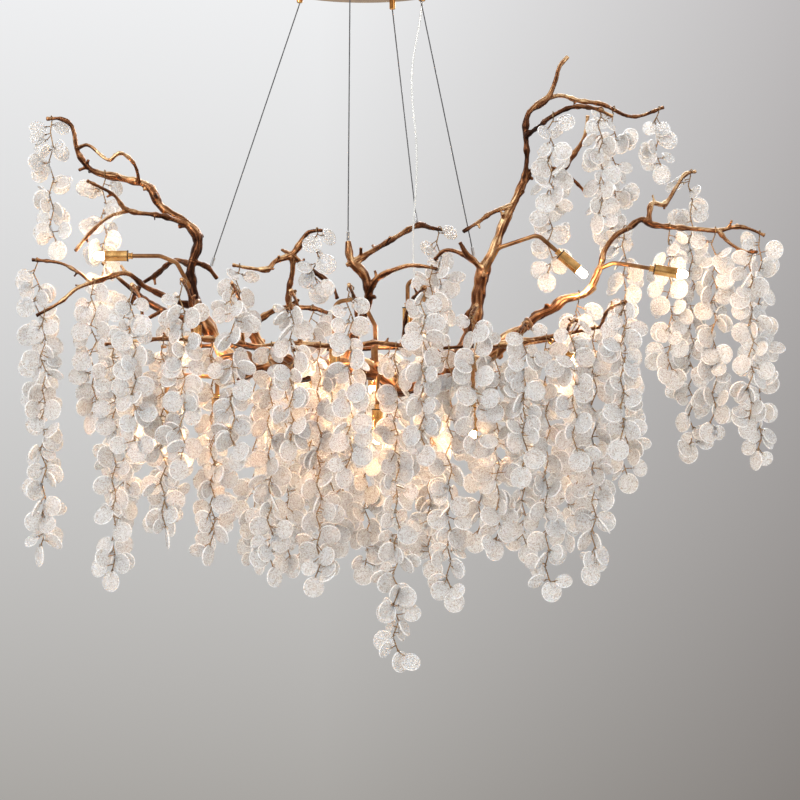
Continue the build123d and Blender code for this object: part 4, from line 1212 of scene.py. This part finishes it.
def hang_garland(heap, spot, seed, body):
    """Hook, wire and discs of one garland; gives its number of discs."""
    hook, bends, discs = garland_place(spot, seed)
    twist_wire(heap, hook + bends, WIRE_RADIUS)
    draw = random.Random(EXTRA_SEEDS + seed)
    for centre, out, facing in discs:
        press_disc(heap, centre, facing, DISC_RADIUS, draw)
        tie_loop(heap, centre - out * DISC_RADIUS, out, facing)
    count = len(discs)
    line = [hook[-1]] + bends
    for run in zip(line, line[1:]):
        count += sum(small_disc(heap, run, draw, body) for _ in range(DISCS_PER_RUN))
    return count


def dress_garlands(name, spots, first_seed, body):
    """One piece for a garland or for a group of wound garlands."""
    heap = Heap()
    count = sum(hang_garland(heap, spot, first_seed + i, body) for i, spot in enumerate(spots))
    piece = heap.piece(name + "_glass", [aged_wire, hammered_glass, rim_glass])
    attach(piece, body)
    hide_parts(name)
    return count


# %% All garlands
groups = {name: [spot] for name, spot in SWINGING.items()} | WOUND
carriers = {name: name if name in SWINGING else "frame" for name in groups}
first_seeds = {}
seed = 1
for name, spots in groups.items():
    first_seeds[name] = seed
    for spot in spots:
        for centre, _, facing in garland_place(spot, seed)[2]:
            note_disc((centre, facing, DISC_RADIUS), carriers[name])
        seed += 1
discs_in_all = 0
for name, spots in groups.items():
    discs_in_all += dress_garlands(name, spots, first_seeds[name], carriers[name])
print(seed - 1, "garlands with", discs_in_all, "discs")

# %% [markdown]
# ## Smaller fittings
# Lamp arms, holders, ferrules and the ceiling fitting are turned, drawn or moulded parts whose CAD
# shapes are right as they are. They only need their finishes: a warm polish on the canopy and its
# grips, brown lacquer on the arms, satin steel on the ferrules, zinc on the bracket and pale
# plastic in the sockets and the terminal block. Each finish wanders between two tones, because no
# real surface has a single one.

# %% A finish for a fitting
SCRATCHES = 8                             # how much finer the scratches are than the grain
SCRATCH_DEPTH = 0.0002


def dress(material, *names):
    """Give CAD nodes a material."""
    for name in names:
        nodes[name].data.materials.clear()
        nodes[name].data.materials.append(material)


def fitting_finish(name, dark, light, scale, roughness, metallic):
    """A finish whose colour and gloss vary between two tones."""
    made, tree, shader = new_material(name, light, roughness[0], metallic)
    cloud = grain(tree, scale)
    tone = add_ramp(tree, cloud.outputs["Fac"], [(0.3, dark), (0.7, light)])
    tree.links.new(tone.outputs["Color"], shader.inputs["Base Color"])
    vary(tree, shader, "Roughness", cloud.outputs["Fac"], *roughness)
    scratches = grain(tree, scale * SCRATCHES, 2.0)
    add_bump(tree, shader, scratches.outputs["Fac"], 0.15, SCRATCH_DEPTH)
    return made


# %% Fittings with their finishes
# Dark tone, light tone, scale of the grain, roughness from and to, and share of metal.
FITTING_FINISHES = {
    "polished_brass": ((0.55, 0.26, 0.07), (0.95, 0.58, 0.23), 70.0, (0.1, 0.24), 1.0),
    "arm_lacquer": ((0.16, 0.062, 0.025), (0.42, 0.22, 0.09), 50.0, (0.25, 0.45), 0.9),
    "satin_steel": ((0.36, 0.36, 0.36), (0.55, 0.55, 0.56), 200.0, (0.3, 0.45), 1.0),
    "zinc_plate": ((0.5, 0.51, 0.53), (0.68, 0.69, 0.72), 90.0, (0.3, 0.5), 1.0),
    "socket_cream": ((0.72, 0.68, 0.58), (0.82, 0.79, 0.7), 120.0, (0.45, 0.6), 0.0),
    "block_white": ((0.78, 0.78, 0.75), (0.86, 0.86, 0.83), 120.0, (0.45, 0.6), 0.0),
    "ring_black": ((0.02, 0.014, 0.01), (0.06, 0.04, 0.028), 90.0, (0.35, 0.5), 0.8),
}
finishes = {name: fitting_finish(name, *values) for name, values in FITTING_FINISHES.items()}

dress(finishes["polished_brass"], "canopy", "canopy_nuts", "rope_grips", "cord_grip", "cord_inlet")
dress(finishes["arm_lacquer"], "lamp_arms")
dress(finishes["satin_steel"], "rope_ferrules")
dress(finishes["zinc_plate"], "ceiling_bracket")
dress(finishes["socket_cream"], "lampholders")
dress(finishes["block_white"], "terminal_block")
print(len(finishes), "finishes for the fittings")

# %% [markdown]
# ## Lamp sleeves
# Each sleeve is turned from brass tube: a slim collar, a dark ring where it meets the tube, and a
# mouth that is rolled outwards. A turned form is one profile that is spun round an axis, so rings
# of points give it at once, with as many sides as a highlight needs to run straight along the tube.
# Feet and directions are those of the CAD source.

# %% Lamp sleeves, as (distance from the foot, radius) in millimetres
SLEEVE_SIDES = 28
SLEEVE_PROFILE = [(0.0, 4.0), (0.0, 5.4), (1.8, 5.4), (2.2, 4.6), (6.6, 5.0), (7.0, 9.2), (8.6, 9.2),
                  (8.8, 8.5), (20.0, 8.5), (32.0, 8.5), (43.6, 8.5), (44.1, 9.0), (45.0, 9.0), (45.0, 7.8),
                  (34.0, 7.7), (9.5, 7.7), (9.5, 0.3)]
RING_ROWS = (5, 6)                        # rows of the profile that make the dark ring
POLISHED, DARK = range(2)                 # places of the two finishes in the sleeves' mesh
SHARP_EDGE = math.radians(40)


def leaning(degrees):
    """A direction to the right, this far below the level."""
    return Vector((math.cos(math.radians(degrees)), 0, -math.sin(math.radians(degrees))))


DOWN = Vector((0, 0, -1))
LAMPS = [((-369, -10, -458), Vector((-1, 0, 0))), ((-266, -28, -560), DOWN), ((-229, -85, -678), DOWN),
         ((-314, -20, -695), DOWN), ((-45, -95, -590), DOWN), ((14, 55, -620), DOWN), ((22, -78, -695), DOWN),
         ((70, 72, -530), DOWN), ((172, -78, -692), DOWN), ((306, -40, -452), leaning(41)),
         ((455, -15, -478), leaning(10)), ((292, -72, -594), leaning(33))]


def turn_sleeve(heap, foot, way):
    """One sleeve from its collar's foot, in the way that the lamp points."""
    side = way.orthogonal().normalized()
    over = way.cross(side)
    points = []
    for place, radius in SLEEVE_PROFILE:
        for k in range(SLEEVE_SIDES):
            turn = 2 * math.pi * k / SLEEVE_SIDES
            spoke = side * math.cos(turn) + over * math.sin(turn)
            points.append((foot + way * place + spoke * radius) * MM)
    faces = ring_faces(len(SLEEVE_PROFILE), SLEEVE_SIDES)
    ring = [face for row in RING_ROWS for face in faces[row * SLEEVE_SIDES:(row + 1) * SLEEVE_SIDES]]
    heap.add(points, [face for face in faces if face not in ring], POLISHED)
    heap.add([], [[i - len(points) for i in face] for face in ring], DARK)


heap = Heap()
for foot, way in LAMPS:
    turn_sleeve(heap, Vector(foot), way)
sleeves = heap.piece("lamp_sleeves_turned", [finishes["polished_brass"], finishes["ring_black"]])
sleeves.data.set_sharp_from_angle(angle=SHARP_EDGE)
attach(sleeves, "frame")
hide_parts("lamp_sleeves")
print(len(LAMPS), "sleeves turned")

# %% [markdown]
# ## Lit bulbs
# The small frosted bulbs are on in the picture. They burn out to white there and tint the glass
# round them with a warm peach. A strong warm emission does both: the camera clips it, and the
# neighbours show its colour.

# %% Lit bulbs
BULB_GLOW = 290.0

lit_bulb, tree, shader = new_material("lit_bulb", (0.95, 0.88, 0.75), 0.35)
shader.inputs["Emission Strength"].default_value = BULB_GLOW
frost = grain(tree, 300.0)
glow = add_ramp(tree, frost.outputs["Fac"], [(0.3, (1.0, 0.59, 0.29)), (0.7, (1.0, 0.69, 0.4))])
tree.links.new(glow.outputs["Color"], shader.inputs["Emission Color"])
vary(tree, shader, "Roughness", frost.outputs["Fac"], 0.3, 0.5)
bulbs = [name for name in nodes if name.startswith("bulb_")]
dress(lit_bulb, *bulbs)
print(len(bulbs), "bulbs lit")

# %% [markdown]
# ## Studio
# The backdrop is pale grey, and darker downwards and to the right. The world shows it to the
# camera, and to the metal and glass that mirror it or let it through, while plain white light comes
# from the world and three soft panels. A pale round floor far below fades out at its edge and keeps
# the shadow.

# %% Backdrop
BACKDROP_TOP = (0.86, 0.865, 0.875)
BACKDROP_BOTTOM = (0.4, 0.385, 0.365)
BACKDROP_HEIGHT = 0.3                     # change of direction from the bottom to the top
SHADE_START = -0.03                       # direction to the right where the backdrop starts to darken
SHADE_END = 0.17                          # direction where it is darkest
SHADE_GONE = 0.7                          # direction to the side where it is pale again
SHADE = (0.56, 0.535, 0.53)

world = bpy.data.worlds.new("pale_backdrop")
scene.world = world
world.use_nodes = True
tree = world.node_tree
tree.nodes.clear()
toward = tree.nodes.new("ShaderNodeTexCoord")
parts = tree.nodes.new("ShaderNodeSeparateXYZ")
tree.links.new(toward.outputs["Generated"], parts.inputs["Vector"])
half_height = BACKDROP_HEIGHT / 2
rise = add_node(tree, "ShaderNodeMapRange", From_Min=-half_height, From_Max=half_height)
tree.links.new(parts.outputs["Z"], rise.inputs["Value"])
backdrop = add_ramp(tree, rise.outputs["Result"], [(0.0, BACKDROP_BOTTOM), (1.0, BACKDROP_TOP)])
across = add_node(tree, "ShaderNodeMapRange", From_Min=SHADE_START, From_Max=SHADE_GONE)
tree.links.new(parts.outputs["X"], across.inputs["Value"])
darkest = (SHADE_END - SHADE_START) / (SHADE_GONE - SHADE_START)
dusk = add_ramp(tree, across.outputs["Result"], [(0.0, (1, 1, 1)), (darkest, SHADE), (1.0, (1, 1, 1))])
shaded = tree.nodes.new("ShaderNodeVectorMath")
shaded.operation = "MULTIPLY"
tree.links.new(backdrop.outputs["Color"], shaded.inputs[0])
tree.links.new(dusk.outputs["Color"], shaded.inputs[1])
seen = tree.nodes.new("ShaderNodeBackground")
tree.links.new(shaded.outputs["Vector"], seen.inputs["Color"])
print("backdrop with", len(tree.nodes), "shader nodes")

# %% Light of the world, for the rays that don't see the backdrop
light = add_node(tree, "ShaderNodeBackground", Color=(1, 1, 1, 1), Strength=1.0)
rays = tree.nodes.new("ShaderNodeLightPath")
sees = rays.outputs["Is Camera Ray"]
for kind in ("Is Glossy Ray", "Is Transmission Ray"):
    either = tree.nodes.new("ShaderNodeMath")
    either.operation = "MAXIMUM"
    tree.links.new(sees, either.inputs[0])
    tree.links.new(rays.outputs[kind], either.inputs[1])
    sees = either.outputs["Value"]
choice = tree.nodes.new("ShaderNodeMixShader")
tree.links.new(sees, choice.inputs[0])
tree.links.new(light.outputs["Background"], choice.inputs[1])
tree.links.new(seen.outputs["Background"], choice.inputs[2])
result = tree.nodes.new("ShaderNodeOutputWorld")
tree.links.new(choice.outputs["Shader"], result.inputs["Surface"])
print("world light ready")

# %% Floor
FLOOR_LEVEL = -1.8
FLOOR_RADIUS = 2.2
FLOOR_FADE = 1.2                          # radius at which the floor starts to fade
FLOOR_SIDES = 48

floor_paint, tree, shader = new_material("floor_paint", (0.6, 0.59, 0.58), 0.7)
cloud = grain(tree, 3.0)
tone = add_ramp(tree, cloud.outputs["Fac"], [(0.3, (0.58, 0.57, 0.56)), (0.7, (0.63, 0.62, 0.61))])
tree.links.new(tone.outputs["Color"], shader.inputs["Base Color"])
where = tree.nodes.new("ShaderNodeTexCoord")
far = tree.nodes.new("ShaderNodeVectorMath")
far.operation = "LENGTH"
tree.links.new(where.outputs["Object"], far.inputs[0])
fade = add_node(tree, "ShaderNodeMapRange", From_Min=FLOOR_FADE, From_Max=FLOOR_RADIUS)
fade.interpolation_type = "SMOOTHSTEP"
tree.links.new(far.outputs["Value"], fade.inputs["Value"])
gone = tree.nodes.new("ShaderNodeBsdfTransparent")
edge = tree.nodes.new("ShaderNodeMixShader")
tree.links.new(fade.outputs["Result"], edge.inputs[0])
tree.links.new(shader.outputs["BSDF"], edge.inputs[1])
tree.links.new(gone.outputs["BSDF"], edge.inputs[2])
tree.links.new(edge.outputs["Shader"], tree.nodes["Material Output"].inputs["Surface"])

heap = Heap()
turns = [2 * math.pi * k / FLOOR_SIDES for k in range(FLOOR_SIDES)]
rim = [Vector((math.cos(turn), math.sin(turn), 0)) * FLOOR_RADIUS for turn in turns]
heap.add(rim, [list(range(FLOOR_SIDES))])
floor = heap.piece("floor", [floor_paint])
floor.location = (0, 0, FLOOR_LEVEL)
print("floor", 2 * FLOOR_RADIUS, "m wide")


# %% Light panels
def light_panel(name, place, size, power):
    """A soft white panel that faces the chandelier."""
    panel = bpy.data.lights.new(name, "AREA")
    panel.size = size
    panel.energy = power
    made = bpy.data.objects.new(name, panel)
    scene.collection.objects.link(made)
    made.location = place
    made.rotation_euler = (PICTURE_CENTRE - Vector(place)).to_track_quat("-Z", "Y").to_euler()


light_panel("key_panel", (-1.9, -2.6, 1.0), size=1.6, power=56.0)
light_panel("fill_panel", (2.4, -2.2, -0.3), size=1.8, power=14.0)
light_panel("back_panel", (0.6, 2.6, 0.9), size=1.6, power=52.0)
print("studio ready")
